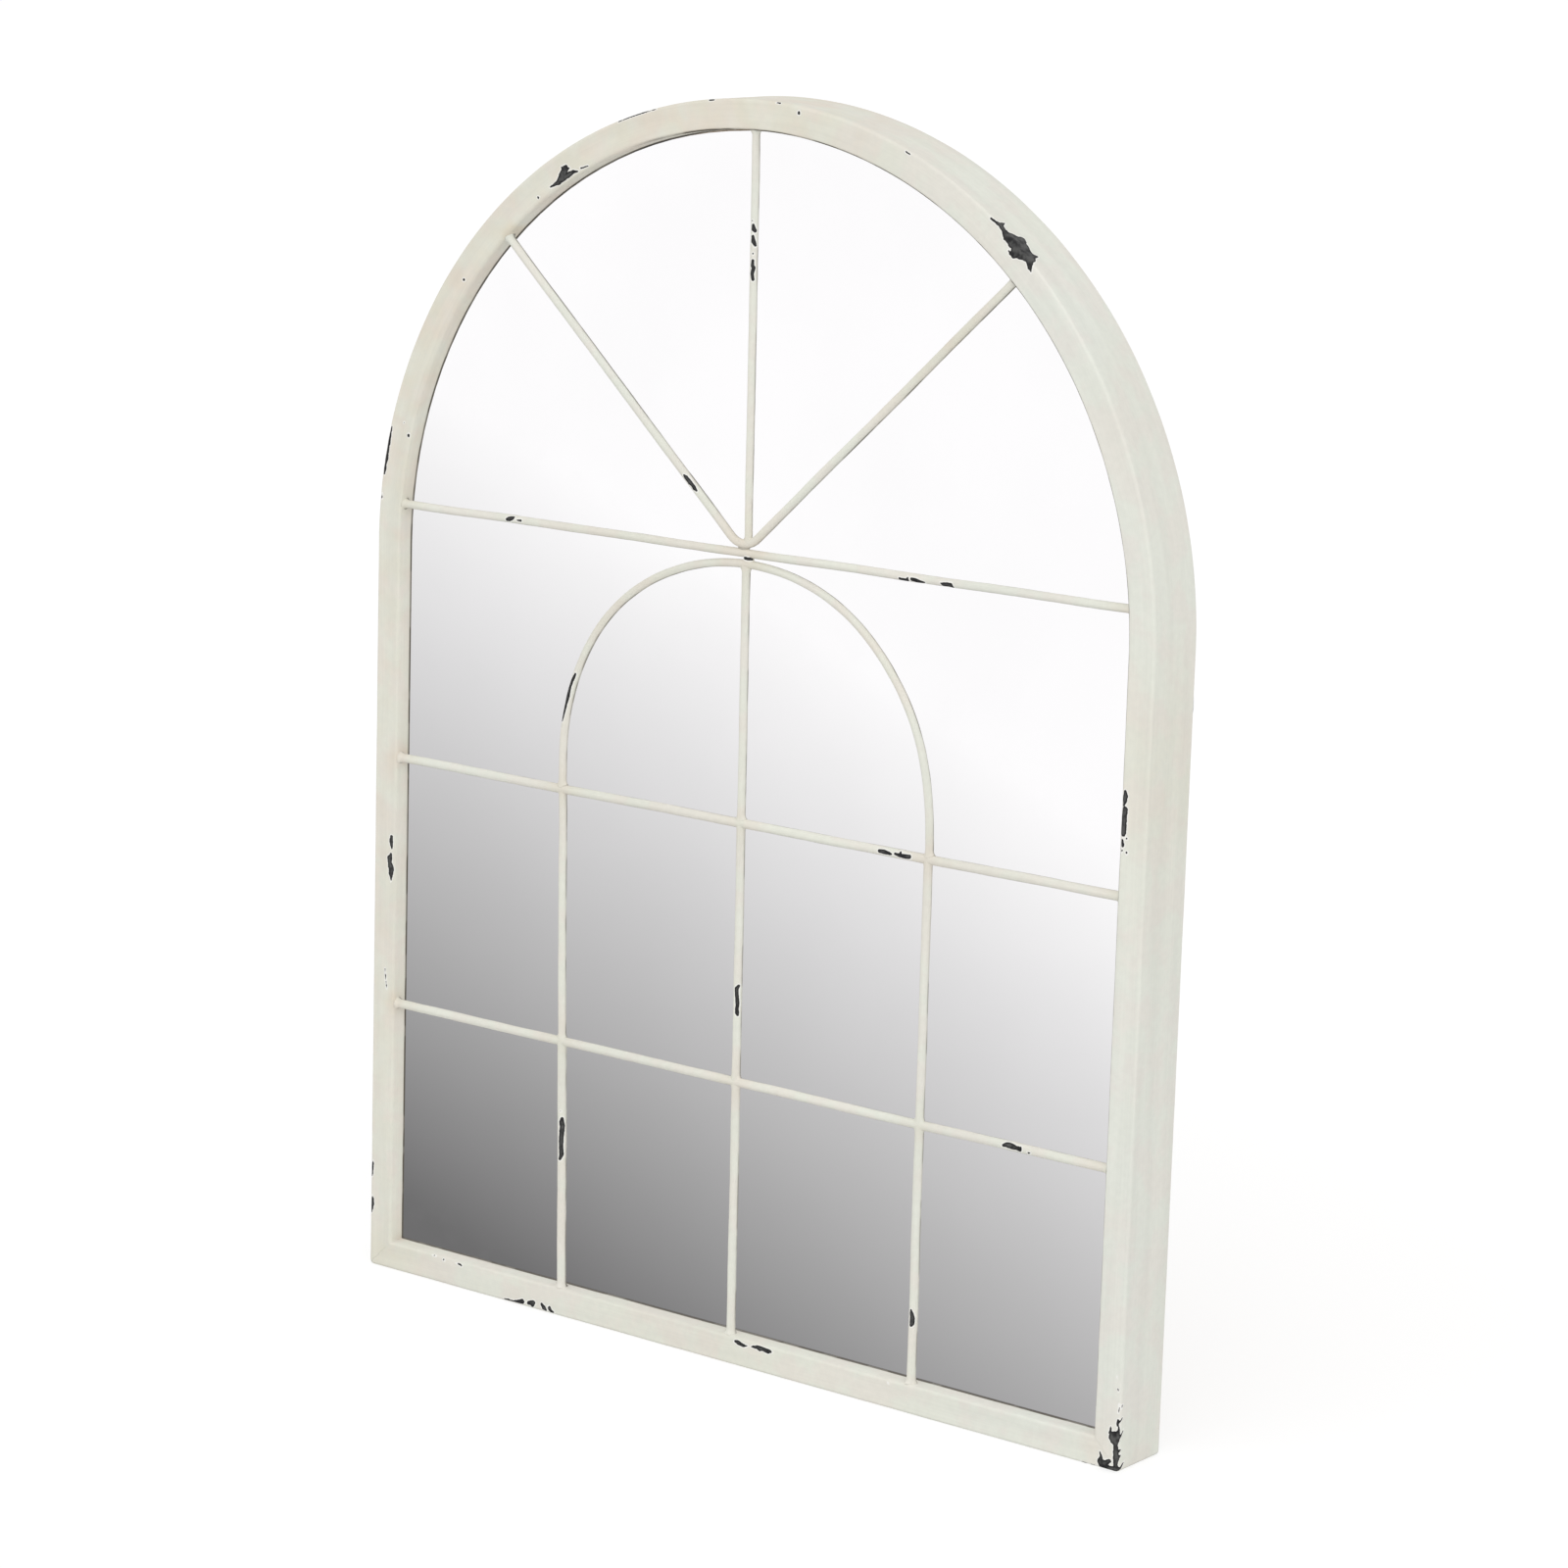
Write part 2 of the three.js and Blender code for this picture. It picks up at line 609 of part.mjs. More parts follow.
function buildLugs() {
  for (const [name, { x, z, angle }] of Object.entries(lugPlaces())) {
    const seat = new THREE.Group();
    seat.position.set(x, boardBackY, z);
    seat.rotation.y = Math.PI - angle;
    mirror.add(seat);
    addPiece(`lug_${name}`, lugGeometry(), creamPaint(), seat);
    const screw = addPiece(`board_screw_${name}`, screwGeometry(BOARD_SCREW), zincPlate(), seat);
    screw.position.set(lugHoleFromWall, LUG_THICKNESS, 0);
  }
}

// ---------------------------------------------------------------------------------------------
// Hangers. The strap is folded double: its two layers lie together under the screws and part
// into an eye round the ring's straight bar. The ring hangs down with its round end against the
// strap, above the screws, and swings out and up to take a wall hook.

/** The folded strap with its eye's axis along X through the origin and its plate below. */
function strapGeometry() {
  const plate = 2 * STRAP_THICKNESS;
  const meetAngle = Math.acos((plate - eyeOuterRadius) / eyeOuterRadius);
  const edge = new THREE.Shape();
  edge.moveTo(-eyeOuterRadius, -STRAP_LENGTH);
  edge.lineTo(plate - eyeOuterRadius, -STRAP_LENGTH);
  edge.absarc(0, 0, eyeOuterRadius, -meetAngle, Math.PI);
  edge.closePath();
  edge.holes.push(new THREE.Path().absarc(0, 0, eyeInnerRadius, 0, 2 * Math.PI));
  const strip = new THREE.ExtrudeGeometry(edge, {
    depth: STRAP_WIDTH,
    bevelEnabled: false,
    curveSegments: HOLE_SIDES / 2,
  });
  strip.translate(0, 0, -STRAP_WIDTH / 2);
  // The edge was drawn with its thickness along X and its length along Y: stand it up.
  const acrossX = new THREE.Vector3(1, 0, 0);
  const backY = new THREE.Vector3(0, 1, 0);
  const upZ = new THREE.Vector3(0, 0, 1);
  strip.applyMatrix4(new THREE.Matrix4().makeBasis(backY, upZ, acrossX));
  let strap = toSolid(strip);
  for (const distance of Object.values(strapHoleDistances)) {
    const hole = drill(HANGER_SCREW.shank + 2 * THREAD_GAP, 0, -distance, -2 * eyeOuterRadius, plate);
    strap = strap.subtract(toSolid(hole));
  }
  return toGeometry(strap);
}

/** The D ring, hanging straight down from the axis of its straight bar. */
function ringGeometry() {
  const straight = ringArmX - RING_BEND_RADIUS;
  const armEnd = RING_BEND_RADIUS + RING_ARM_LENGTH;
  const wire = new BentWire(0, [
    line(-straight, 0, straight, 0),
    bend(straight, -RING_BEND_RADIUS, RING_BEND_RADIUS, Math.PI / 2, 0, 4),
    line(ringArmX, -RING_BEND_RADIUS, ringArmX, -armEnd),
    bend(0, -armEnd, ringArmX, 0, -Math.PI, 12),
    line(-ringArmX, -armEnd, -ringArmX, -RING_BEND_RADIUS),
    bend(-straight, -RING_BEND_RADIUS, RING_BEND_RADIUS, Math.PI, Math.PI / 2, 4),
  ]);
  return new THREE.TubeGeometry(wire, wire.steps, wireRadius, WIRE_SIDES, true);
}

/** How far the ring leans out where its round end rests on the strap. */
function ringLean() {
  const standOff = 2 * STRAP_THICKNESS + PIVOT_CLEARANCE + wireRadius;
  return Math.asin((standOff - eyeOuterRadius) / ringReach);
}

function buildHangers() {
  for (const [side, x] of Object.entries({ left: -hangerX, right: hangerX })) {
    const pivot = new THREE.Group();
    pivot.position.set(x, pivotY, PIVOT_HEIGHT);
    mirror.add(pivot);
    addPiece(`hanger_strap_${side}`, strapGeometry(), zincPlate(), pivot);
    const ring = addPiece(`hanger_ring_${side}`, ringGeometry(), zincPlate(), pivot);
    ring.rotation.x = ringLean();
    for (const [level, distance] of Object.entries(strapHoleDistances)) {
      const name = `hanger_screw_${side}_${level}`;
      const screw = addPiece(name, screwGeometry(HANGER_SCREW), zincPlate(), pivot);
      screw.position.set(0, 2 * STRAP_THICKNESS - eyeOuterRadius, -distance);
    }
  }
}

// ---------------------------------------------------------------------------------------------
// Bumpers: two round rubber pads on the back of the bottom rail.

function buildBumpers() {
  const radius = BUMPER_DIAMETER / 2;
  const profile = [
    new THREE.Vector2(0, 0),
    new THREE.Vector2(radius, 0),
    new THREE.Vector2(radius, bumperThickness - BUMPER_CHAMFER),
    new THREE.Vector2(radius - BUMPER_CHAMFER, bumperThickness),
    new THREE.Vector2(0, bumperThickness),
  ];
  const fromMiddle = halfWidth - BUMPER_FROM_SIDE;
  for (const [side, x] of Object.entries({ left: -fromMiddle, right: fromMiddle })) {
    const pad = addPiece(`bumper_${side}`, new THREE.LatheGeometry(profile, 24), blackRubber());
    pad.position.set(x, TUBE_DEPTH, TUBE_FACE / 2);
  }
}

buildFrame();
buildRails();
buildBentBars();
buildUprights();
buildMirror();
buildLugs();
buildHangers();
buildBumpers();

mirror.position.set(0, -wallY, -PIVOT_HEIGHT);

export default mirror;
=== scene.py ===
# Arched window mirror: the looks of a hand-painted, chipped steel frame with window bars, built
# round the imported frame. Metres, in the frame's own axes: +X right, +Y to the wall, +Z up.
import math

import bpy
import numpy as np
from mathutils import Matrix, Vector


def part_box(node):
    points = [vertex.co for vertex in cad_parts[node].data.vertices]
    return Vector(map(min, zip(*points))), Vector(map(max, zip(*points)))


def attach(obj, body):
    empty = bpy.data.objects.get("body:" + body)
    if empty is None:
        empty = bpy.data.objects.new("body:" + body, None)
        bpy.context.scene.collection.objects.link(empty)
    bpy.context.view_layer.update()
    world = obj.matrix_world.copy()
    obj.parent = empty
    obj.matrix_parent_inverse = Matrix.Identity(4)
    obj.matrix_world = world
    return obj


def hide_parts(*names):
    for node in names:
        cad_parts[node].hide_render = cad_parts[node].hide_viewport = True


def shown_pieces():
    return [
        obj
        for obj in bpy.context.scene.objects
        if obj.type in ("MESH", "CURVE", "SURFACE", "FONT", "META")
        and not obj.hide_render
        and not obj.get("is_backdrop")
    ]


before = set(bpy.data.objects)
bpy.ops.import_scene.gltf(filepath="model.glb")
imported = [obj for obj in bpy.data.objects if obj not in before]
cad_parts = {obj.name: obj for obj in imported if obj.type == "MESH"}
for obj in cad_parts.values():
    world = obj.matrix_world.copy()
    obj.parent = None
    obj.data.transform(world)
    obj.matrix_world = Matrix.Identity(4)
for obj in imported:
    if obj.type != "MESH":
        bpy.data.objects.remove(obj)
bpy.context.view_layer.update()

# ---------------------------------------------------------------------------------------------
# Camera: a long lens to the right of the mirror and a little above its middle. Its place, angles
# and focal length were fitted to the frame's outline and bars.

camera = bpy.data.objects.new("camera", bpy.data.cameras.new("camera"))
camera.location = (1.81797, -2.36499, 0.52245)
camera.rotation_euler = [math.radians(angle) for angle in (78.1991, -1.6339, 37.9260)]
camera.data.sensor_width = 36
camera.data.lens = 110.906
bpy.context.scene.collection.objects.link(camera)
bpy.context.scene.camera = camera
bpy.context.scene.view_settings.view_transform = "Standard"

# ---------------------------------------------------------------------------------------------
# Frame: rectangular steel tube, rolled to a half circle above two legs and mitred to a bottom
# rail. The welds are ground flush, so the paint runs over both mitres. The front is drawn in
# millimetres from the frame's front face (Y) and the underside of its bottom rail (Z).

MM = 0.001
arch_low, arch_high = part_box("frame_arch")
rail_low, rail_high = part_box("frame_bottom_rail")
FRONT_AND_FOOT = np.array([0, arch_low.y, rail_low.z])
HALF_WIDTH = arch_high.x / MM
TUBE_FACE = (rail_high.z - rail_low.z) / MM
TUBE_DEPTH = (arch_high.y - arch_low.y) / MM
SPRING = (arch_high.z - rail_low.z) / MM - HALF_WIDTH
TUBE_EDGE_RADIUS = 2.0
CORNER_RADII = (2.6, 0.8)
HALF_CORNER = 1.2
LEG = SPRING - TUBE_FACE / 2
BOW = math.pi * (HALF_WIDTH - TUBE_FACE / 2)
RAIL = 2 * HALF_WIDTH - TUBE_FACE
PAINT_RELIEF = 0.12
MITRE_GROUND = 15.0
CHIPS_REACH = 16.0
# Depths on the tube's inner side where painted shade ends on the front's edge and begins by the
# glass.
EDGE_LINE, GLASS_LINE = 3.4, 10.9


def spread(stops, steps):
    """Numbers from stop to stop: each gap between two stops is cut in equal steps of its own."""
    gaps = [
        np.linspace(a, b, n, endpoint=False) for a, b, n in zip(stops, stops[1:], steps)
    ]
    return np.concatenate([*gaps, [stops[-1]]])


def fine_stations(length, coarse, fine, fine_spans):
    """Places along a length: coarse steps, made fine inside each span (from, to)."""
    places = np.arange(0, length - fine / 2, fine)
    keep = np.zeros(len(places), bool)
    keep[:: max(1, round(coarse / fine))] = True
    for low, high in fine_spans:
        keep |= (places >= low) & (places <= high)
    return np.append(places[keep], length)


def waves(along, around, girth, seed, shortest, longest):
    """Smooth relief from 0 to 1: the sum of 24 sine waves of random length along the piece, each
    with a whole number of turns round its girth, so that it closes on itself."""
    rng = np.random.default_rng(seed)
    total = 0
    for _ in range(24):
        length = rng.uniform(shortest, longest)
        turns = rng.integers(-3, 4)
        phase = rng.uniform(0, 2 * np.pi)
        total = total + np.sin(2 * np.pi * (along / length + turns * around / girth) + phase)
    return np.clip(0.5 + total / 14, 0, 1)


def chip_level(a, b, chips):
    """How deep each point lies in the nearest chip, in millimetres, counted from 2 mm outside its
    outline: 2 on the outline, more inside. A chip is a row of round spots, (a, b, radius), that
    run into each other: between two spots the radius changes evenly."""
    level = np.zeros(np.broadcast(a, b).shape)
    for spots in chips:
        for (a0, b0, r0), (a1, b1, r1) in zip(spots, [*spots[1:], spots[-1]]):
            run_a, run_b = a1 - a0, b1 - b0
            square = max(run_a**2 + run_b**2, 1e-9)
            share = np.clip(((a - a0) * run_a + (b - b0) * run_b) / square, 0, 1)
            away = np.hypot(a - a0 - share * run_a, b - b0 - share * run_b)
            level = np.maximum(level, 2 + r0 + share * (r1 - r0) - away)
    return level


def stain_level(x, z, stains):
    """How warm or cool the paint is at each point: the sum of soft round spots, X, Z, radius and
    strength, each falling off as a bell curve. Above 0 it is stained tan, below 0 washed pale."""
    level = np.zeros(np.shape(x))
    for spot_x, spot_z, radius, strength in stains:
        level += strength * np.exp(-((x - spot_x) ** 2 + (z - spot_z) ** 2) / radius**2)
    return level


def skin(name, *grids):
    """A mesh over one or more grids of points in millimetres: in each, rows follow each other
    along the piece and close round it. The first and last rows are capped, or joined where the
    grid is a ring. Its UV map holds the way along and around in metres; marks are numbers that
    the points carry."""
    places, faces, caps, uvs, marks, first = [], [], [], [], {}, 0
    for grid in grids:
        points, along, around = grid["points"], grid["along"], grid["around"]
        ring = grid.get("ring", False)
        rows, columns = points.shape[:2]
        row, column = np.meshgrid(
            np.arange(rows if ring else rows - 1), np.arange(columns), indexing="ij"
        )
        next_row, next_column = (row + 1) % rows, (column + 1) % columns
        corners = [(row, column), (row, next_column), (next_row, next_column), (next_row, column)]
        quads = np.stack([r * columns + c for r, c in corners], -1).reshape(-1, 4)
        flat = points.reshape(-1, 3)
        a, b, c, d = (flat[quads[:, k]] - flat.mean(0) for k in range(4))
        volume = np.sum(np.cross(c - a, d - b) * (a + b + c + d))
        uv = [
            np.stack([along[row + r], around[column + c]], -1)
            for r, c in ((0, 0), (0, 1), (1, 1), (1, 0))
        ]
        uv = np.stack(uv, -2).reshape(-1, 4, 2)
        ends = [] if ring else [range(columns), range((rows - 1) * columns, rows * columns)]
        ends = [list(end)[:: 1 if (i == 1) == (volume > 0) else -1] for i, end in enumerate(ends)]
        if volume < 0:
            quads, uv = quads[:, ::-1], uv[:, ::-1]
        places.append(flat * MM + FRONT_AND_FOOT)
        faces.append(quads + first)
        caps += [[first + corner for corner in end] for end in ends]
        uvs.append(uv.reshape(-1, 2) * MM)
        for mark, level in grid.get("marks", {}).items():
            marks.setdefault(mark, []).append(np.broadcast_to(level, (rows, columns)).ravel())
        first += len(flat)
    faces, uvs = np.concatenate(faces), np.concatenate(uvs)
    mesh = bpy.data.meshes.new(name)
    mesh.from_pydata(np.concatenate(places).tolist(), [], faces.tolist() + caps)
    smooth = np.ones(len(mesh.polygons), bool)
    smooth[len(faces):] = False
    mesh.polygons.foreach_set("use_smooth", smooth)
    corner_uvs = np.zeros((len(mesh.loops), 2))
    corner_uvs[: len(uvs)] = uvs
    mesh.uv_layers.new(name="UVMap").data.foreach_set("uv", corner_uvs.ravel())
    for mark, levels in marks.items():
        values = np.concatenate(levels)
        mesh.attributes.new(mark, "FLOAT", "POINT").data.foreach_set("value", values)
    piece = bpy.data.objects.new(name, mesh)
    bpy.context.scene.collection.objects.link(piece)
    return piece


def tube_section():
    """The tube's outline as inset from the frame's outer edge and depth, once round from the back
    of the outer side over the front: a rectangle with a quarter circle at each corner, finest
    near the front. With it, the way round and the direction out of the metal."""
    r, face, depth = TUBE_EDGE_RADIUS, TUBE_FACE, TUBE_DEPTH
    outer = spread([depth - r, 14, r], [5, 14])
    inner = spread([r, EDGE_LINE, GLASS_LINE, 11.4, 16.4, depth - r], [1, 5, 1, 3, 6])
    front = spread([r, face - r], [28])
    back = spread([face - r, r], [6])
    quarter = np.linspace(0, np.pi / 2, 5, endpoint=False)
    sine, cosine = r * np.sin(quarter), r * np.cos(quarter)
    inset = [0 * outer[:-1], r - cosine, front[:-1], face - r + sine]
    inset += [face + 0 * inner[:-1], face - r + cosine, back[:-1], r - sine]
    y = [outer[:-1], r - sine, 0 * front[:-1], r - cosine]
    y += [inner[:-1], depth - r + sine, depth + 0 * back[:-1], depth - r + cosine]
    outline = np.stack([np.concatenate(inset), np.concatenate(y)], -1)
    step = np.roll(outline, -1, 0) - outline
    around = np.append(0, np.cumsum(np.hypot(*step.T)))
    tangent = np.roll(outline, -1, 0) - np.roll(outline, 1, 0)
    outward = np.stack([tangent[:, 1], -tangent[:, 0]], -1)
    outward /= np.linalg.norm(outward, axis=1, keepdims=True)
    return outline, around, outward


section, girthways, outward = tube_section()


def corner_radius(inset):
    """How round the frame's lower corners are in the front's plane, from outside to inside."""
    return np.interp(inset, [0, TUBE_FACE], CORNER_RADII)


def arch_path(station, inset):
    """X and Z on the outline of the arch at an inset: half a corner, a leg, the half circle, a
    leg and half a corner. A station is counted along the tube's middle; within a part it keeps
    the same share of the part's length at every inset."""
    parts = [HALF_CORNER, LEG, BOW, LEG, HALF_CORNER]
    ends = np.cumsum(parts)
    share = [(station - end + part) / part for end, part in zip(ends, parts)]
    r, half = corner_radius(inset), HALF_WIDTH - inset
    foot = inset + r
    turn = math.pi / 4 * (1 - share[0])
    sweep = math.pi * (1 - share[2])
    close = math.pi / 4 * share[4]
    part = [station < end for end in ends[:-1]]
    x = np.select(
        part,
        [r - half - r * np.cos(turn), -half, half * np.cos(sweep), half],
        half - r + r * np.cos(close),
    )
    z = np.select(
        part,
        [
            foot - r * np.sin(turn),
            foot + (SPRING - foot) * share[1],
            SPRING + half * np.sin(sweep),
            SPRING + (foot - SPRING) * share[3],
        ],
        foot - r * np.sin(close),
    )
    return x, z


def rail_path(station, inset):
    """X and Z on the outline of the bottom rail at an inset: half a corner, the straight, half a
    corner."""
    r = corner_radius(inset)
    half, foot = HALF_WIDTH - inset - r, inset + r
    turn = math.pi / 4 * (1 + station / HALF_CORNER)
    close = math.pi / 2 - math.pi / 4 * (station - HALF_CORNER - RAIL) / HALF_CORNER
    part = [station < HALF_CORNER, station < HALF_CORNER + RAIL]
    x = np.select(
        part,
        [-half - r * np.cos(turn), half * (2 * (station - HALF_CORNER) / RAIL - 1)],
        half + r * np.cos(close),
    )
    z = np.select(part, [foot - r * np.sin(turn), inset + 0 * station], foot - r * np.sin(close))
    return x, z


def spans_near(length, path, chips):
    """Where along a path its chips lie: for each spot a span round its nearest station."""
    stations = np.linspace(0, length, 4000)
    x, z = path(stations, 0 * stations + TUBE_FACE / 2)
    spans = []
    for spot_x, spot_z, radius in (spot for spots in chips for spot in spots):
        nearest = stations[np.argmin((x - spot_x) ** 2 + (z - spot_z) ** 2)]
        spans.append((nearest - radius - 1.4, nearest + radius + 1.4))
    return spans


def tube(name, path, length, seed, chips, stains):
    """The tube's section carried along a path. The paint's relief, at most PAINT_RELIEF deep,
    lowers the surface along its own outward direction and fades out where a mitre was ground.
    The chips lie on the front as if both sides were unfolded into its plane. Painted shade darkens
    the inner wall beside the glass, and the front's inner edge over the arch."""
    mitres = [(0, 4), (length - 4, length)]
    stations = fine_stations(length, 6, 0.6, spans_near(length, path, chips) + mitres)
    along, around = stations[:, None], girthways[None, :-1]
    inset, depth = section[None, :, 0], section[None, :, 1]
    fade = np.clip(np.minimum(along, length - along) / MITRE_GROUND, 0, 1)
    low = PAINT_RELIEF * fade**2 * (3 - 2 * fade)
    low = low * waves(along, around, girthways[-1], seed, 25, 140)
    x, z = path(along + 0 * inset, inset - low * outward[None, :, 0])
    points = np.stack([x, depth - low * outward[None, :, 1], z], -1)
    outside = inset < TUBE_FACE / 2
    unfolded = np.where(outside, inset - depth, inset + depth)
    chip = chip_level(*path(along + 0 * inset, unfolded + 0 * along), chips)
    chip = chip * (depth < CHIPS_REACH)
    # Painted shade: a dark band on the inner wall beside the glass, where the gap lies in shadow,
    # and a dark line on the front's inner edge over the arch, where it turns from the light.
    beside_glass = 1.8 * np.clip((depth - GLASS_LINE) / 0.5, 0, 1) * (inset > TUBE_FACE - 0.01)
    on_edge = np.clip((inset - TUBE_FACE + 1.3) / 0.6, 0, 1.4)
    on_edge = on_edge * np.clip((EDGE_LINE - depth) / 1.4, 0, 1)
    on_edge = on_edge * np.clip((x + 100) / 60, 0, 1) * np.clip((z - 380) / 160, 0.5, 1)
    painted_shade = np.maximum(beside_glass * (depth < CHIPS_REACH + 1), on_edge * (z > 2 * TUBE_FACE))
    marks = {"chip": chip, "stain": stain_level(x, z, stains), "painted_shade": painted_shade}
    return skin(name, dict(points=points, along=stations, around=girthways, marks=marks))


def on_bow(degrees, inset, radius):
    """A chip's spot on the half circle: at an angle up from the right, and an inset."""
    angle, reach = math.radians(degrees), HALF_WIDTH - inset
    return reach * math.cos(angle), SPRING + reach * math.sin(angle), radius


edge_chips = [
    [(298.2, 27.5, 0.4), (298.2, 23.8, 1.2), (301.2, 21.2, 4.2), (302.5, 16.8, 1.7)]
    + [(302.8, 12.5, 2.2), (303.2, 8, 2.4), (302.8, 4.5, 1.6), (303.8, 1.5, 2.2)],
    [(303.8, 29.5, 0.4), (304.2, 26, 1.3), (302.8, 22.2, 3)],
    [(304.2, 21.5, 1.7), (308.2, 22.5, 0.5)],
    [(304.2, 12.8, 1.5), (306.5, 12.8, 0.5)],
    [(304.2, 9, 1.5), (306.5, 8.8, 0.6)],
    [(303.2, 33.2, 0.5), (303.2, 30.8, 1.1), (303, 29.2, 0.4)],
    [(303.2, 31, 0.8), (306.5, 32.2, 0.6)],
    [(303.2, 42.8, 0.4), (304.5, 41.2, 0.8), (306.8, 40.5, 0.4)],
    [(304.2, 40.8, 0.7), (303.8, 39.2, 0.7), (303.5, 37.8, 0.3)],
    [(291.2, 10.4, 0.2), (292.2, 7.2, 1.1), (291.8, 4, 2.2), (294.2, 3.2, 2.5)]
    + [(296.2, 4.8, 1.5), (298.2, 6, 1.3)],
    [(292.2, 1, 1.2), (297.2, 1, 1.9), (301.8, 1.5, 2.2), (307, 0.5, 1.2), (310.5, 0, 0.3)],
]
arch_chips = edge_chips + [
    [(-150, 747.6, 2.4), (-152.8, 742.4, 2.8), (-155.3, 738.7, 1.8), (-158.8, 736.8, 1)]
    + [(-162, 735.2, 0.5)],
    [(-152.9, 740.6, 2), (-146.8, 744.2, 1.8), (-143.2, 746, 1.2), (-138.9, 746.7, 0.3)],
    [(-151.7, 746.5, 1.4), (-153.5, 748.4, 0.3)],
    [(-148.6, 747.2, 1.3), (-146.8, 748.3, 0.4)],
    [(-137.2, 748.8, 0.6), (-131.7, 750.3, 0.5)],
    [(177.4, 741.9, 0.8), (180.4, 740.6, 1.2), (184.2, 739.4, 1.9), (186.5, 736.3, 1.8)]
    + [(189.8, 732.8, 3.7), (194.3, 730.7, 5.5), (198.8, 730.2, 5.4), (203.4, 726.6, 4.6)]
    + [(205.8, 723.5, 4.4), (205.9, 719, 2.6), (206.1, 716.1, 1.8), (207, 713.2, 0.4)],
    [(195.4, 724.6, 3.1), (194.9, 722.4, 2.6), (191.9, 722.9, 1.1), (190.5, 724.5, 0.3)],
    [(195.4, 726, 3), (200, 726.4, 3.6), (204, 725, 3.6)],
    [(196, 722.8, 2.1), (199.6, 722.4, 2.8), (203.4, 720.8, 2.2)],
    [(193, 734.5, 3), (198, 734.6, 3.4), (202, 731.5, 3.4)],
    [(208.8, 726.9, 2), (211.4, 728.9, 0.4)],
    [(199.9, 737.5, 2.6), (202.6, 736.5, 0.4)],
    [(184.8, 741.1, 1.5), (186.4, 744.2, 0.4)],
    [(-233, 671, 0.9)],
    [(-279, 566, 1.1)],
    [(-283, 574, 0.4)],
    [(-172, 728, 0.8)],
    [(33, 794, 1.1)],
    [on_bow(86.6, 0, 0.7), on_bow(87.0, 0, 0.7)],
    [on_bow(96.2, 0, 0.7), on_bow(96.8, 0, 0.8)],
    [on_bow(68.0, 1.4, 0.5), on_bow(67.4, 1.5, 0.5)],
    [on_bow(110.8, 0.2, 0.5), on_bow(109, 0, 0.8), on_bow(107, 0.1, 0.7), on_bow(104.9, 0.2, 0.5)],
    [on_bow(165.6, 1.8, 0.4), on_bow(166.7, 1.8, 1), on_bow(167.4, 1.8, 1.5), on_bow(168.3, 2, 1.1)]
    + [on_bow(169, 2, 1.2), on_bow(169.7, 2, 1.6), on_bow(170.5, 1.9, 1), on_bow(171, 1.9, 1.4)]
    + [on_bow(171.7, 1.9, 0.6)],
    [on_bow(174.2, 1.8, 0.4), on_bow(174.8, 1.8, 0.5)],
    [(-289.8, 297.5, 1.3), (-289.8, 293.5, 1.7), (-289.2, 290, 0.7)],
    [(-290, 285.5, 1), (-291, 282.8, 2.1), (-290.8, 279.2, 1.8), (-289.5, 276.2, 2.7)]
    + [(-289.8, 272.8, 2), (-289.5, 269.2, 0.8)],
    [(-294, 207, 0.2), (-293.2, 200, 0.45), (-292, 193, 0.2)],
    [(-303.2, 69.8, 1.4), (-303.4, 67, 1.2), (-303.6, 63.5, 0.9), (-303.6, 61.5, 0.5)],
    [(-303.6, 49.2, 0.6)],
    [(-303, 45.2, 1.4), (-302.8, 41.8, 1.5), (-303.4, 38.2, 0.9), (-303.6, 36, 0.3)],
    [(288.6, 416, 1), (288.8, 413.2, 1.8), (288.4, 410.2, 1.5), (288, 407.8, 0.8)],
    [(289, 405, 2.1), (288.6, 401.5, 2), (288.6, 397.5, 2), (288.4, 393.8, 2.2), (288.4, 391, 2)],
    [(288.2, 386.8, 0.8), (288.4, 383.8, 1.2)],
    [(288, 380.5, 0.7)],
    [(291.5, 379.8, 0.7)],
    [(291, 388.2, 0.6)],
    [(305.4, 175, 0.7), (305.4, 173.4, 0.7)],
    [(302, 60, 0.9)],
    [(302.2, 51.8, 0.8)],
]
rail_chips = edge_chips + [
    [(-249.4, 17.8, 0.4), (-245.2, 18.2, 0.5)],
    [(-237.8, 16.5, 0.9)],
    [(-228.2, 16, 0.6)],
    [(-224.8, 16.8, 0.6), (-222.2, 16, 0.6)],
    [(132.5, 16.8, 0.8)],
    [(168.7, 16.4, 0.8)],
    [(10.8, 16.2, 1.1), (13.2, 15.8, 1.6), (16.8, 14.8, 1.2), (18.8, 15, 0.7), (20.8, 15.5, 0.3)],
    [(23.2, 15.5, 0.4), (25.2, 15.8, 0.8), (28.2, 16.2, 1.2), (30.2, 15.8, 1.8), (33.2, 16, 1.3)]
    + [(36.8, 15.5, 1.7), (38.8, 15.8, 1.1)],
    [(-184.8, 1.2, 0.3), (-181.2, 1.5, 0.8), (-176.2, 1.5, 0.6), (-171.2, 2.5, 1.4)]
    + [(-168.2, 3, 1.7)],
    [(-162.8, 3.2, 1.4), (-158.8, 4.2, 1.8), (-159.8, 2, 1.3)],
    [(-151.8, 4.8, 0.9), (-149.8, 3, 1.7), (-148.2, 1.8, 1.2)],
    [(-144.8, 3.5, 1.5), (-143.8, 1.8, 1.2), (-139.8, 1.2, 0.4)],
    [(278, 0.2, 0.5), (280.4, 0.3, 0.6)],
    [(285.4, 0.2, 0.4), (288.8, 0.2, 0.5)],
]
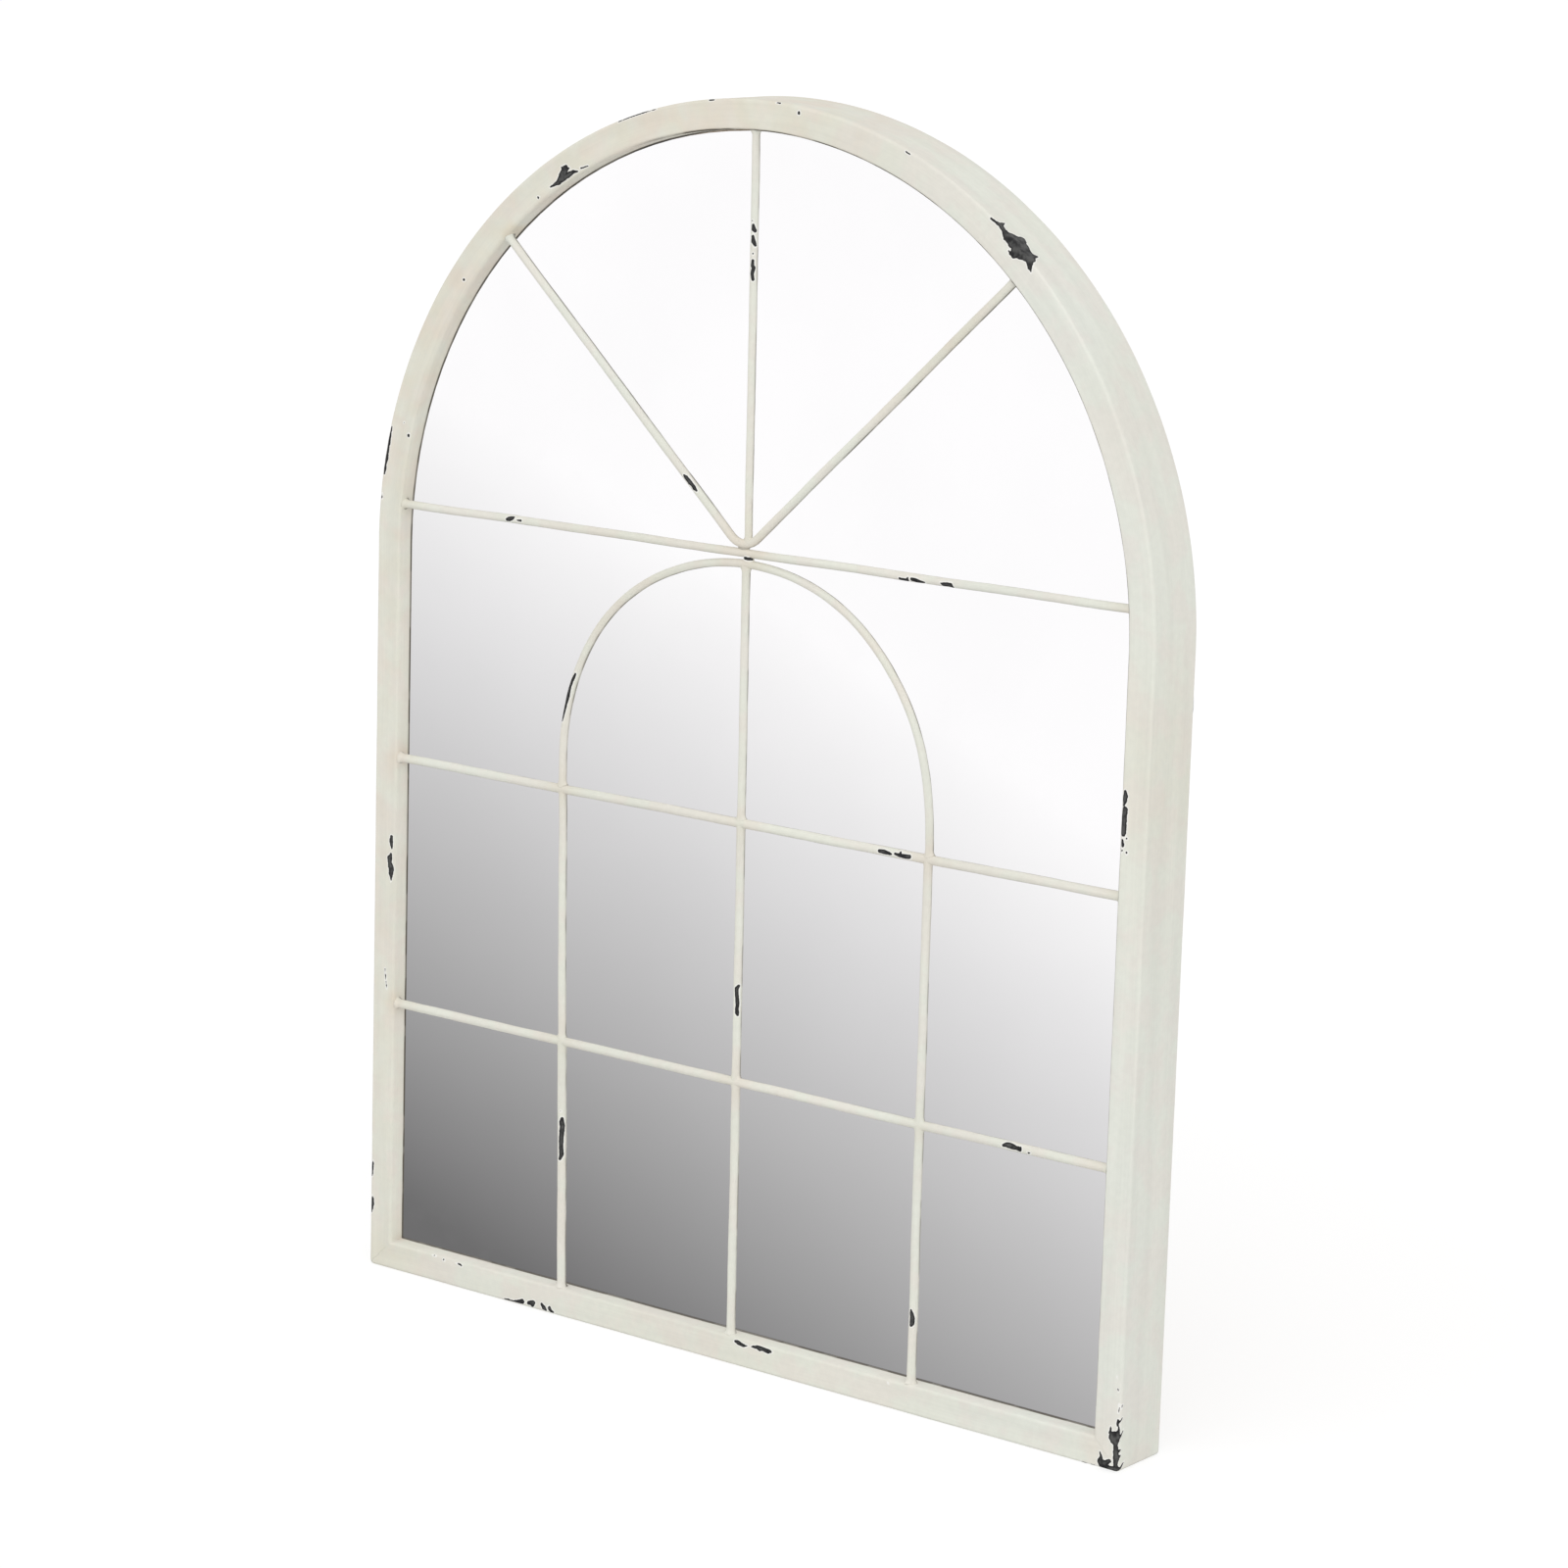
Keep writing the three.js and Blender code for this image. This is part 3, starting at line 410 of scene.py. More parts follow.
frame_stains = [
    (0, 790, 120, 0.55),
    (-120, 770, 60, 0.12),
    (-300, 260, 300, 0.32),
    (-290, 520, 90, 0.12),
    (297, 420, 80, 0.55),
    (305, 250, 260, -0.5),
    (250, 660, 150, -0.3),
    (-290, 10, 30, 0.3),
    (0, 9, 60, 0.15),
    (286, 14, 16, 0.35),
    (-194, 703.4, 5, 1.2),
    (-235, 655, 150, 0.5),
    (-286, 186, 8, 0.5),
    (-286, 352, 8, 0.5),
]
arch_length = 2 * HALF_CORNER + 2 * LEG + BOW
rail_length = 2 * HALF_CORNER + RAIL
arch = tube("frame_arch_painted", arch_path, arch_length, 11, arch_chips, frame_stains)
bottom = tube("frame_bottom_rail_painted", rail_path, rail_length, 12, rail_chips, frame_stains)


def place(tree, kind, inputs={}, **settings):
    """One shader node: settings are its own properties, inputs its sockets' values or links."""
    made = tree.nodes.new("ShaderNode" + kind)
    for name, value in settings.items():
        setattr(made, name, value)
    for name, value in inputs.items():
        if isinstance(value, bpy.types.NodeSocket):
            tree.links.new(value, made.inputs[name])
        else:
            made.inputs[name].default_value = value
    return made


def maths(tree, operation, *values):
    """The result of one Math node."""
    return place(tree, "Math", dict(enumerate(values)), operation=operation).outputs[0]


def mixed(tree, factor, low, high):
    """One colour faded into another by a factor from 0 to 1."""
    return place(tree, "Mix", {0: factor, 6: low, 7: high}, data_type="RGBA").outputs[2]


def ramp(tree, value, low, high, to_low=0.0, to_high=1.0):
    """A value moved smoothly from one range into another and kept inside it."""
    levels = {"Value": value, "From Min": low, "From Max": high}
    levels |= {"To Min": to_low, "To Max": to_high}
    return place(tree, "MapRange", levels, interpolation_type="SMOOTHSTEP").outputs["Result"]


def noise(tree, coordinates, grain, detail=2.0, stretch=None):
    """Noise whose blobs are about one grain, in metres, across; stretch scales each axis."""
    if stretch:
        mapping = place(tree, "Mapping", {"Vector": coordinates, "Scale": stretch})
        coordinates = mapping.outputs["Vector"]
    made = place(tree, "TexNoise", {"Vector": coordinates, "Scale": 0.5 / grain, "Detail": detail})
    return made.outputs["Fac"]


def srgb(red, green, blue):
    """A colour written as it looks on a screen, 0 to 255, as light."""
    values = np.array([red, green, blue]) / 255
    light = np.where(values <= 0.04045, values / 12.92, ((values + 0.055) / 1.055) ** 2.4)
    return (*light.tolist(), 1.0)


def effect(name, takes, gives):
    """An empty shader node group with named inputs and outputs. An input takes a number, given by
    its default, or a vector, given by an empty list."""
    tree = bpy.data.node_groups.new(name, "ShaderNodeTree")
    kinds = {float: "NodeSocketFloat", list: "NodeSocketVector"}
    for socket, value in takes.items():
        made = tree.interface.new_socket(socket, in_out="INPUT", socket_type=kinds[type(value)])
        if not isinstance(value, list):
            made.default_value = value
    for socket, kind in gives.items():
        tree.interface.new_socket(socket, in_out="OUTPUT", socket_type=kinds[kind])
    return tree, tree.nodes.new("NodeGroupInput").outputs, tree.nodes.new("NodeGroupOutput").inputs


def build_chipping():
    """Chips: the piece's own chip marks with a torn outline, a few specks, most of them near a
    chip, and a pale rim where the paint curls up. Depth runs from 0 along the outline to 1 well
    inside."""
    tree, given, result = effect(
        "chipping",
        {"Coordinates": [], "Mark": 0.0, "Tear": 1.5, "Specks": 0.5},
        {"Bare": float, "Rim": float, "Depth": float},
    )
    where, marked = given["Coordinates"], given["Mark"]
    coarse = maths(tree, "SUBTRACT", noise(tree, where, 0.0012, 5.0), 0.5)
    tear = maths(tree, "MULTIPLY", coarse, given["Tear"])
    tear = maths(tree, "MULTIPLY", tear, ramp(tree, marked, 0.2, 1.2))
    level = maths(tree, "ADD", marked, tear)
    bare = ramp(tree, level, 1.9, 2.1)
    areas = ramp(tree, noise(tree, where, 0.03, 1.0), 0.5, 0.75, 0.0, 0.12)
    areas = maths(tree, "ADD", areas, ramp(tree, marked, 0.0, 1.6, 0.0, 0.34))
    limit = maths(tree, "SUBTRACT", 0.93, maths(tree, "MULTIPLY", given["Specks"], areas))
    specks = ramp(tree, maths(tree, "SUBTRACT", noise(tree, where, 0.0016, 1.0), limit), 0.0, 0.01)
    tree.links.new(maths(tree, "MAXIMUM", bare, specks), result["Bare"])
    rim = maths(tree, "SUBTRACT", ramp(tree, level, 1.0, 1.6), bare)
    tree.links.new(maths(tree, "MAXIMUM", rim, 0.0), result["Rim"])
    tree.links.new(ramp(tree, level, 2.3, 3.6), result["Depth"])
    return tree


def build_brushing():
    """Brush strokes that run along a piece: long thin noise across its UV map."""
    tree, given, result = effect("brushing", {"Way": []}, {"Strokes": float, "Broad": float})
    tree.links.new(noise(tree, given["Way"], 0.0007, 3.0, (0.03, 1, 1)), result["Strokes"])
    tree.links.new(noise(tree, given["Way"], 0.005, 2.0, (0.06, 1, 1)), result["Broad"])
    return tree


def build_mottling():
    """Soft uneven patches: two sizes of noise, the larger pulled apart to a value from 0 to 1."""
    tree, given, result = effect(
        "mottling",
        {"Coordinates": [], "Low": 0.35, "High": 0.65},
        {"Patches": float, "Grain": float},
    )
    large = noise(tree, given["Coordinates"], 0.06, 4.0)
    tree.links.new(ramp(tree, large, given["Low"], given["High"]), result["Patches"])
    tree.links.new(noise(tree, given["Coordinates"], 0.008, 4.0), result["Grain"])
    return tree


CHIPPING, BRUSHING, MOTTLING = build_chipping(), build_brushing(), build_mottling()

PAINT = srgb(227, 226, 215)
PAINT_WARM = srgb(217, 205, 184)
PAINT_COOL = srgb(226, 228, 222)
PAINT_RIM = srgb(244, 243, 239)
PAINT_PINK = srgb(226, 217, 208)
PAINT_GREEN = srgb(222, 227, 214)
# The grey-brown of painted shade: gaps, inner edges and rod sides turned from the light.
PAINTED_SHADE_COLOUR = srgb(98, 92, 80)
BARE_STEEL = srgb(27, 27, 29)
BARE_STEEL_PALE = srgb(82, 82, 81)


def material(name, **shader):
    """A material with a Principled shader, and the tree, shader and object coordinates to use."""
    made = bpy.data.materials.new(name)
    made.use_nodes = True
    tree = made.node_tree
    principled = tree.nodes["Principled BSDF"]
    for socket, value in shader.items():
        principled.inputs[socket.replace("_", " ")].default_value = value
    coordinates = place(tree, "TexCoord").outputs["Object"]
    return made, tree, principled.inputs, coordinates


def use(tree, group, inputs):
    """An effect placed in a material, with its inputs' values or links."""
    return place(tree, "Group", inputs, node_tree=group).outputs


def bump(tree, shader, height):
    """Relief for the shader, from a height in millimetres."""
    made = place(tree, "Bump", {"Height": height, "Distance": MM, "Strength": 1.0})
    tree.links.new(made.outputs["Normal"], shader["Normal"])


def mark(tree, name):
    """A number that the piece's mesh carries at each point."""
    return place(tree, "Attribute", attribute_name=name).outputs["Fac"]


def paint(name, tear, specks):
    """Cream oil paint, brushed by hand over dark primed steel and chipped down to it. Marks on
    the mesh give the chips, the stains, and where painted shade darkens it grey-brown."""
    made, tree, shader, coordinates = material(name, IOR=1.45, Specular_IOR_Level=0.35)
    way = place(tree, "UVMap", uv_map="UVMap").outputs["UV"]
    strokes = use(tree, BRUSHING, {"Way": way})
    patches = use(tree, MOTTLING, {"Coordinates": coordinates})
    chips = use(
        tree,
        CHIPPING,
        {"Coordinates": coordinates, "Mark": mark(tree, "chip"), "Tear": tear, "Specks": specks},
    )
    stain = mark(tree, "stain")
    washed = maths(tree, "MAXIMUM", maths(tree, "MULTIPLY", stain, -1.0), 0.0)
    washed = maths(tree, "ADD", washed, maths(tree, "MULTIPLY", patches["Patches"], 0.35))
    colour = mixed(tree, maths(tree, "MINIMUM", washed, 1.0), PAINT, PAINT_COOL)
    spotted = ramp(tree, patches["Grain"], 0.3, 0.7, 0.55, 1.25)
    stained = maths(tree, "MULTIPLY", maths(tree, "MAXIMUM", stain, 0.0), spotted)
    colour = mixed(tree, maths(tree, "MINIMUM", stained, 1.0), colour, PAINT_WARM)
    blotches = ramp(tree, noise(tree, coordinates, 0.011, 3.0), 0.4, 0.6)
    colour = mixed(tree, 0.3, colour, mixed(tree, blotches, PAINT_PINK, PAINT_GREEN))
    # Painted shade: grey-brown where the mesh marks it, broken up by noise.
    shade_breakup = ramp(tree, noise(tree, coordinates, 0.012, 2.0), 0.42, 0.58, 0.45, 1.0)
    painted_shade = maths(tree, "MULTIPLY", mark(tree, "painted_shade"), shade_breakup)
    colour = mixed(tree, painted_shade, colour, PAINTED_SHADE_COLOUR)
    shade = ramp(tree, strokes["Strokes"], 0.25, 0.75, 0.985, 1.015)
    broad = ramp(tree, strokes["Broad"], 0.3, 0.7, 0.975, 1.02)
    shade = maths(tree, "MULTIPLY", shade, broad)
    fine = ramp(tree, noise(tree, coordinates, 0.002, 3.0), 0.3, 0.7, 0.982, 1.014)
    shade = maths(tree, "MULTIPLY", shade, fine)
    colour = place(tree, "VectorMath", {0: colour, "Scale": shade}, operation="SCALE").outputs[0]
    colour = mixed(tree, maths(tree, "MULTIPLY", chips["Rim"], 0.8), colour, PAINT_RIM)
    # Painted shadow: bare steel is darkest along a chip's outline, as if shaded by the paint's
    # edge; inside it is paler, by random tone.
    steel_tone_and_rim_shadow = ramp(tree, noise(tree, coordinates, 0.002, 3.0), 0.3, 0.65)
    steel_tone_and_rim_shadow = maths(tree, "MULTIPLY", steel_tone_and_rim_shadow, chips["Depth"])
    steel = mixed(tree, steel_tone_and_rim_shadow, BARE_STEEL, BARE_STEEL_PALE)
    tree.links.new(mixed(tree, chips["Bare"], colour, steel), shader["Base Color"])
    dull = ramp(tree, strokes["Strokes"], 0.2, 0.8, 0.46, 0.58)
    roughness = maths(tree, "ADD", dull, maths(tree, "MULTIPLY", chips["Bare"], 0.12))
    tree.links.new(roughness, shader["Roughness"])
    relief = maths(tree, "MULTIPLY", strokes["Strokes"], 0.05)
    relief = maths(tree, "ADD", relief, maths(tree, "MULTIPLY", patches["Grain"], 0.10))
    relief = maths(tree, "SUBTRACT", relief, maths(tree, "MULTIPLY", chips["Bare"], 0.15))
    bump(tree, shader, relief)
    return made


tube_paint = paint("cream_paint_on_tube", tear=1.6, specks=0.4)
for piece, node in ((arch, "frame_arch"), (bottom, "frame_bottom_rail")):
    piece.data.materials.append(tube_paint)
    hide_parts(node)
    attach(piece, "frame")

# ---------------------------------------------------------------------------------------------
# Window bars: round steel rod in one layer behind the frame's face. Three rails run right across;
# a rod bent to a V stands on the upper one and a bent arch hangs from it; short uprights fill in
# between. Every end is welded all round, and the welds and rods are painted over by brush.

ROD_Y = 4.75
WALL = HALF_WIDTH - TUBE_FACE
LOWER_RAIL, MIDDLE_RAIL, UPPER_RAIL = 184.8, 352.0, 521.5
ROD = 5.5
FAN_FOOT = UPPER_RAIL + ROD + 0.3
FAN_SLOPES = (42.4, 43.2)
FAN_SHIFT = -3.6
FAN_BEND = ROD / (1 / math.cos(math.radians(sum(FAN_SLOPES) / 2)) - 1)
ARCH_RADIUS = 146.0
ARCH_TOP = UPPER_RAIL - ROD - 1.5
ARCH_FOOT = MIDDLE_RAIL + ROD / 2
ARCH_SPRING = ARCH_TOP - ARCH_RADIUS
WELD_WIDTH = 1.3
WELD_LENGTH = 3.2
SUNK = 0.35
ROD_SIDES = 24
# Directions that the rods' painted shade faces: back and up, and back and down.
PAINTED_SHADE_SIDES = ((0.3, 0.8, 0.5), (0.2, 0.75, -0.6))


def bent_line(start, heading, runs):
    """A rod's centre line: from a start and a heading in degrees follow runs of (length, turn in
    degrees), straight where the turn is 0 and an even bend elsewhere. Gives the line's length and
    a function from the way along it to its two coordinates and its heading in radians."""
    (a, b), angle, way, knots = start, math.radians(heading), 0.0, []
    for length, turn in runs:
        curl = math.radians(turn) / length
        knots.append((way, a, b, angle, curl))
        chord = length * np.sinc(curl * length / (2 * np.pi))
        a += chord * math.cos(angle + curl * length / 2)
        b += chord * math.sin(angle + curl * length / 2)
        way, angle = way + length, angle + curl * length
    knots = np.array(knots)

    def at(s):
        """Coordinates and heading at ways s, each reached by the chord of its run's even bend."""
        run = np.clip(np.searchsorted(knots[:, 0], s, "right") - 1, 0, len(knots) - 1)
        way0, a0, b0, angle0, curl0 = knots[run].T
        d = s - way0
        chord = d * np.sinc(curl0 * d / (2 * np.pi))
        aim = angle0 + curl0 * d / 2
        return a0 + chord * np.cos(aim), b0 + chord * np.sin(aim), angle0 + curl0 * d

    return way, at


def to_wall(x, z, dx, dz):
    """How far points are from the frame's inner wall along a direction: the half circle above the
    spring line, an upright leg or the bottom rail's top below it."""
    rise = z - SPRING
    along = x * dx + rise * dz
    bow = np.sqrt(np.maximum(along**2 - x**2 - rise**2 + WALL**2, 0)) - along
    leg = (math.copysign(WALL, dx) - x) / dx if abs(dx) > 1e-9 else np.inf
    sill = (TUBE_FACE - z) / dz if dz < -1e-9 else np.inf
    return np.where(z + bow * dz > SPRING, bow, np.minimum(leg, sill))


def rod(name, line, diameter, seats, seed, chips=(), bows=()):
    """A round rod along a line, its radius and line a little uneven; a bow, (way, spread, amount),
    pushes it aside by a bell curve. At a seat on the wall, or on another rod (its radius), each
    length of the skin runs on until it meets the seat, and the weld widens the rod by a curve that
    falls off as the square of the way left. A chip's spots lie on the unrolled skin: the way along
    and the way round from the rod's front."""
    length, at = line
    spans = [(0, 2 * WELD_LENGTH), (length - 2 * WELD_LENGTH, length)]
    spans += [(way - size - 1.4, way + size + 1.4) for spots in chips for way, _, size in spots]
    stations = fine_stations(length, 3.0, 0.4, spans)
    x, z, heading = (values[:, None] for values in at(stations))
    s = stations[:, None]
    turn = np.linspace(0, 2 * np.pi, ROD_SIDES, endpoint=False)[None]
    around = turn * diameter / 2
    radius = diameter / 2 + 0.16 * (waves(s, around, math.pi * diameter, seed, 12, 90) - 0.5)
    sway = 0.5 * (waves(s, 0, 1, seed + 500, 90, 400) - 0.5)
    sway = sway * np.minimum(1, np.minimum(s, length - s) / 20)
    for way, spread_out, amount in bows:
        sway = sway + amount * np.exp(-(((s - way) / spread_out) ** 2))
    rng = np.random.default_rng(seed + 900)
    reach = np.zeros_like(radius)
    for seat, left in zip(seats, (s, length - s)):
        three, five = rng.uniform(0, 6, 2)
        lumps = 1 + 0.22 * np.sin(3 * turn + three) + 0.15 * np.sin(5 * turn + five)
        shape = 1.0 if seat == "wall" else np.cos(turn) ** 2 + 0.06
        radius = radius + WELD_WIDTH * np.clip(1 - left / WELD_LENGTH, 0, 1) ** 2 * shape * lumps
    for seat, left, end, sign in zip(seats, (s, length - s), (0, -1), (-1, 1)):
        sine, cosine = math.sin(heading[end, 0]), math.cos(heading[end, 0])
        if seat == "wall":
            inside = 10.0
            side = sway[end] + radius[end] * np.cos(turn[0])
            start_x = x[end, 0] - side * sine - inside * sign * cosine
            start_z = z[end, 0] + side * cosine - inside * sign * sine
            gap = to_wall(start_x, start_z, sign * cosine, sign * sine) - inside
        else:
            off_axis = np.minimum(np.abs(radius[end] * np.sin(turn[0])), seat)
            gap = seat - np.sqrt(seat**2 - off_axis**2)
        reach = reach + sign * (gap[None] + SUNK) * np.clip(1 - left / (1.5 * WELD_LENGTH), 0, 1)
    side = sway + radius * np.cos(turn)
    points = [
        x - side * np.sin(heading) + reach * np.cos(heading),
        ROD_Y + radius * np.sin(turn) + 0 * side,
        z + side * np.cos(heading) + reach * np.sin(heading),
    ]
    outward = [
        -np.cos(turn) * np.sin(heading),
        np.sin(turn) + 0 * side,
        np.cos(turn) * np.cos(heading),
    ]
    # Painted shade: the rods' back-upper and back-lower sides turn grey-brown, as if turned from
    # the light.
    behind, below = (
        sum(part * share for part, share in zip(outward, shaded_side))
        for shaded_side in PAINTED_SHADE_SIDES
    )
    painted_shade = np.clip((behind - 0.42) / 0.28, 0, 1)
    painted_shade = np.maximum(painted_shade, 0.8 * np.clip((below - 0.1) / 0.25, 0, 1))
    from_front = (turn - 1.5 * np.pi + 2 * np.pi * (turn < np.pi / 2)) * diameter / 2
    marks = {
        "chip": chip_level(s + 0 * turn, from_front + 0 * s, chips),
        "stain": stain_level(points[0], points[2], rod_stains),
        "painted_shade": painted_shade,
    }
    around = np.append(around[0], math.pi * diameter)
    grid = dict(points=np.stack(points, -1), along=stations, around=around, marks=marks)
    piece = skin(name + "_painted", grid)
    piece.data.materials.append(rod_paint)
    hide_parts(name)
    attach(piece, "frame")


def straight(x0, z0, x1, z1):
    """A straight centre line from point to point."""
    heading = math.degrees(math.atan2(z1 - z0, x1 - x0))
    return bent_line((x0, z0), heading, [(math.hypot(x1 - x0, z1 - z0), 0)])


def rail(z, drop, rise):
    """A rail's centre line from wall to wall, its ends that much below and above its height."""
    wall = math.sqrt(WALL**2 - max(0, z - SPRING) ** 2)
    return straight(-wall, z - drop, wall, z + rise)


def column(x, foot, head, foot_z, head_z, low, high):
    """A length of a leaning column of uprights, from one height to another: the column stands
    'foot' right of X at foot_z and 'head' right of it at head_z."""
    lean = (head - foot) / (head_z - foot_z)
    return straight(
        x + foot + lean * (low - foot_z), low, x + foot + lean * (high - foot_z), high
    )


def fan():
    """The V's centre line, from wall to wall: down the left spoke, round the bend that stands on
    the upper rail, and up the right spoke."""
    ends = []
    for sign, slope in zip((-1, 1), FAN_SLOPES):
        across, up = sign * math.cos(math.radians(slope)), math.sin(math.radians(slope))
        x = FAN_SHIFT + sign * FAN_BEND * up
        z = FAN_FOOT + FAN_BEND * (1 - abs(across))
        length = float(to_wall(x, z, across, up))
        ends.append((x + length * across, z + length * up, length))
    bend = math.radians(sum(FAN_SLOPES)) * FAN_BEND
    runs = [(ends[0][2], 0), (bend, sum(FAN_SLOPES)), (ends[1][2], 0)]
    return bent_line(ends[0][:2], -FAN_SLOPES[0], runs)


half_rod = ROD / 2
bow_top = SPRING + WALL
rod_paint = paint("cream_paint_on_rods", tear=0.9, specks=0.3)
rod_stains = [
    (0, 524, 26, 0.55),
    (-286, 186, 16, 0.45),
    (286, 186, 16, 0.3),
    (-286, 352, 16, 0.45),
    (286, 352, 16, 0.3),
    (-286, 521, 16, 0.5),
    (286, 521, 16, 0.5),
    (0, 352, 14, 0.35),
    (0, 186, 14, 0.35),
    (-146, 352, 18, 0.4),
    (146, 352, 18, 0.4),
    (-146, 186, 14, 0.3),
    (146, 186, 14, 0.3),
    (150, 660, 60, 0.5),
    (-90, 470, 70, 0.3),
    (100, 470, 60, 0.3),
    (-140, 100, 60, 0.25),
]
inner_arch = bent_line(
    (-ARCH_RADIUS, ARCH_FOOT),
    90,
    [(ARCH_SPRING - ARCH_FOOT, 0), (math.pi * ARCH_RADIUS, -180), (ARCH_SPRING - ARCH_FOOT, 0)],
)
CENTRE = (0, 3.1, -1.3, TUBE_FACE, ARCH_TOP)
LEFT = (-ARCH_RADIUS, 7.2, 0, TUBE_FACE, MIDDLE_RAIL)
RIGHT = (ARCH_RADIUS, 0.1, -0.9, TUBE_FACE, MIDDLE_RAIL)
ON_LOWER, UNDER_LOWER = LOWER_RAIL + half_rod, LOWER_RAIL - half_rod
ON_MIDDLE, UNDER_MIDDLE = MIDDLE_RAIL + half_rod, MIDDLE_RAIL - half_rod
WALL_TO_WALL, WALL_TO_ROD, ROD_TO_ROD = ("wall", "wall"), ("wall", half_rod), (half_rod, half_rod)
rod(
    "lower_rail",
    rail(LOWER_RAIL, 0.8, 0.3),
    5.9,
    WALL_TO_WALL,
    21,
    [
        [(496.5, 0.1, 1), (498.8, 1, 1.8), (502.5, 0.7, 2), (506, 0.3, 1.4), (508.5, 0.1, 1.7)],
        [(508.8, 0.4, 1.2), (509.2, 1.4, 0.5)],
        [(515, -1.2, 0.8), (516.2, -0.8, 0.4)],
    ],
)
rod(
    "middle_rail",
    rail(MIDDLE_RAIL, 1.0, -0.3),
    5.9,
    WALL_TO_WALL,
    22,
    [
        [(396, 0.1, 1.2), (399.5, 0.1, 1.5), (403.5, -0.3, 1.2), (405.2, -0.3, 0.7)],
        [(408, 0.2, 0.8), (411.8, -0.3, 1.2), (415.5, -0.2, 1.5), (419, 0.1, 1.3)],
        [(412.2, 0.3, 1.2), (411.8, 1.9, 0.7)],
    ],
)
rod(
    "upper_rail",
    rail(UPPER_RAIL, 1.3, 1.8),
    5.3,
    WALL_TO_WALL,
    23,
    [
        [(89.5, -0.6, 1.2), (91.5, 0.1, 1.7), (94.5, 1.2, 1.2), (95.5, 1.8, 0.4)],
        [(98, 0.1, 0.4), (101.2, 0.1, 0.9)],
        [(402.8, -1.6, 1), (405.8, -2, 1.3), (408.5, -2.1, 1.2)],
        [(408.5, -1.7, 1.1), (409, -0.2, 0.6)],
        [(412.2, -0.8, 1.3), (415, -1.4, 1.8), (418, -1.7, 1.3), (421.2, -1.6, 0.7)],
        [(433.5, -0.5, 0.5), (435.2, -1.3, 1.4), (438.5, -1, 1.5), (441, -1, 1.5), (442, -2.2, 1)],
    ],
)
rod(
    "spoke_rod",
    fan(),
    5.5,
    WALL_TO_WALL,
    24,
    [
        [(201.2, 0.3, 0.7), (203.2, 0.4, 1.5), (206.8, 0.6, 1.6), (209.2, 0.8, 1.1)]
        + [(212, 0.6, 1.4), (214.2, 0.8, 0.7)],
    ],
)
rod(
    "inner_arch_rod",
    inner_arch,
    5.2,
    ROD_TO_ROD,
    25,
    [
        [(74.2, -0.5, 0.7), (71.2, 0, 1.1), (67.2, 0.5, 1.2), (61.8, 0.6, 1.4), (58, 0.5, 1.6)]
        + [(53.2, 0.5, 1.2), (48, 0.7, 1.2), (43.5, 1.3, 1.1), (41, 1.4, 0.7)],
    ],
    bows=[(120.8, 75, 3.2), (319.5, 60, 1.2), (450, 30, -1)],
)
rod(
    "crown_upright",
    column(0, 0, -2.8, FAN_FOOT, bow_top, FAN_FOOT + half_rod, bow_top),
    5.0,
    (half_rod, "wall"),
    31,
    [
        [(196.5, -0.1, 0.4)],
        [(193.8, -0.7, 1), (191.5, -1.1, 1.5), (190.5, -2.1, 1.2)],
        [(187, -0.7, 1), (184, -1.1, 1.5), (181.5, -2.4, 1)],
        [(176.5, -0.9, 0.5)],
        [(172.2, -1, 0.9), (169, -0.6, 1.2), (167.8, -1.6, 1.2), (164.5, -0.5, 1.2)]
        + [(160.8, -1.2, 1)],
    ],
)
rod(
    "centre_upright_upper",
    column(*CENTRE, ON_MIDDLE, ARCH_TOP - half_rod),
    5.3,
    ROD_TO_ROD,
    32,
)
rod(
    "centre_upright_middle",
    column(*CENTRE, ON_LOWER, UNDER_MIDDLE),
    5.6,
    ROD_TO_ROD,
    33,
    [
        [(59.8, -2.3, 1), (58, -1.1, 1.4), (54.5, -1.1, 1.3), (50.2, -1.6, 1.3), (47.2, -1.9, 1.2)]
        + [(45, -1.4, 1.3), (42.5, -1.6, 1.4), (41, -2.1, 0.8)],
    ],
)
rod("centre_upright_lower", column(*CENTRE, TUBE_FACE, UNDER_LOWER), 5.7, WALL_TO_ROD, 34)
rod("left_upright_middle", column(*LEFT, ON_LOWER, UNDER_MIDDLE), 5.3, ROD_TO_ROD, 35)
rod(
    "left_upright_lower",
    column(*LEFT, TUBE_FACE, UNDER_LOWER),
    6.0,
    WALL_TO_ROD,
    36,
    [
        [(114.2, -2.2, 1.1), (111.8, -1.9, 1.8), (108.8, -2.4, 1.8), (105.2, -1.9, 1.8)]
        + [(99.2, -1.4, 1.6), (93.2, -1.4, 1.6), (90, -1.7, 1.6), (87, -0.4, 1.1)],
        [(119, -1.2, 0.4)],
    ],
)
rod("right_upright_middle", column(*RIGHT, ON_LOWER, UNDER_MIDDLE), 5.6, ROD_TO_ROD, 37)
rod(
    "right_upright_lower",
    column(*RIGHT, TUBE_FACE, UNDER_LOWER),
    5.8,
    WALL_TO_ROD,
    38,
    [
        [(47.5, 0, 0.7), (45.8, -0.4, 1.3), (42.8, -1.1, 1.6), (40.5, -1.2, 1.6)]
        + [(39, -0.9, 1.5), (38, -0.4, 1.1)],
    ],
)


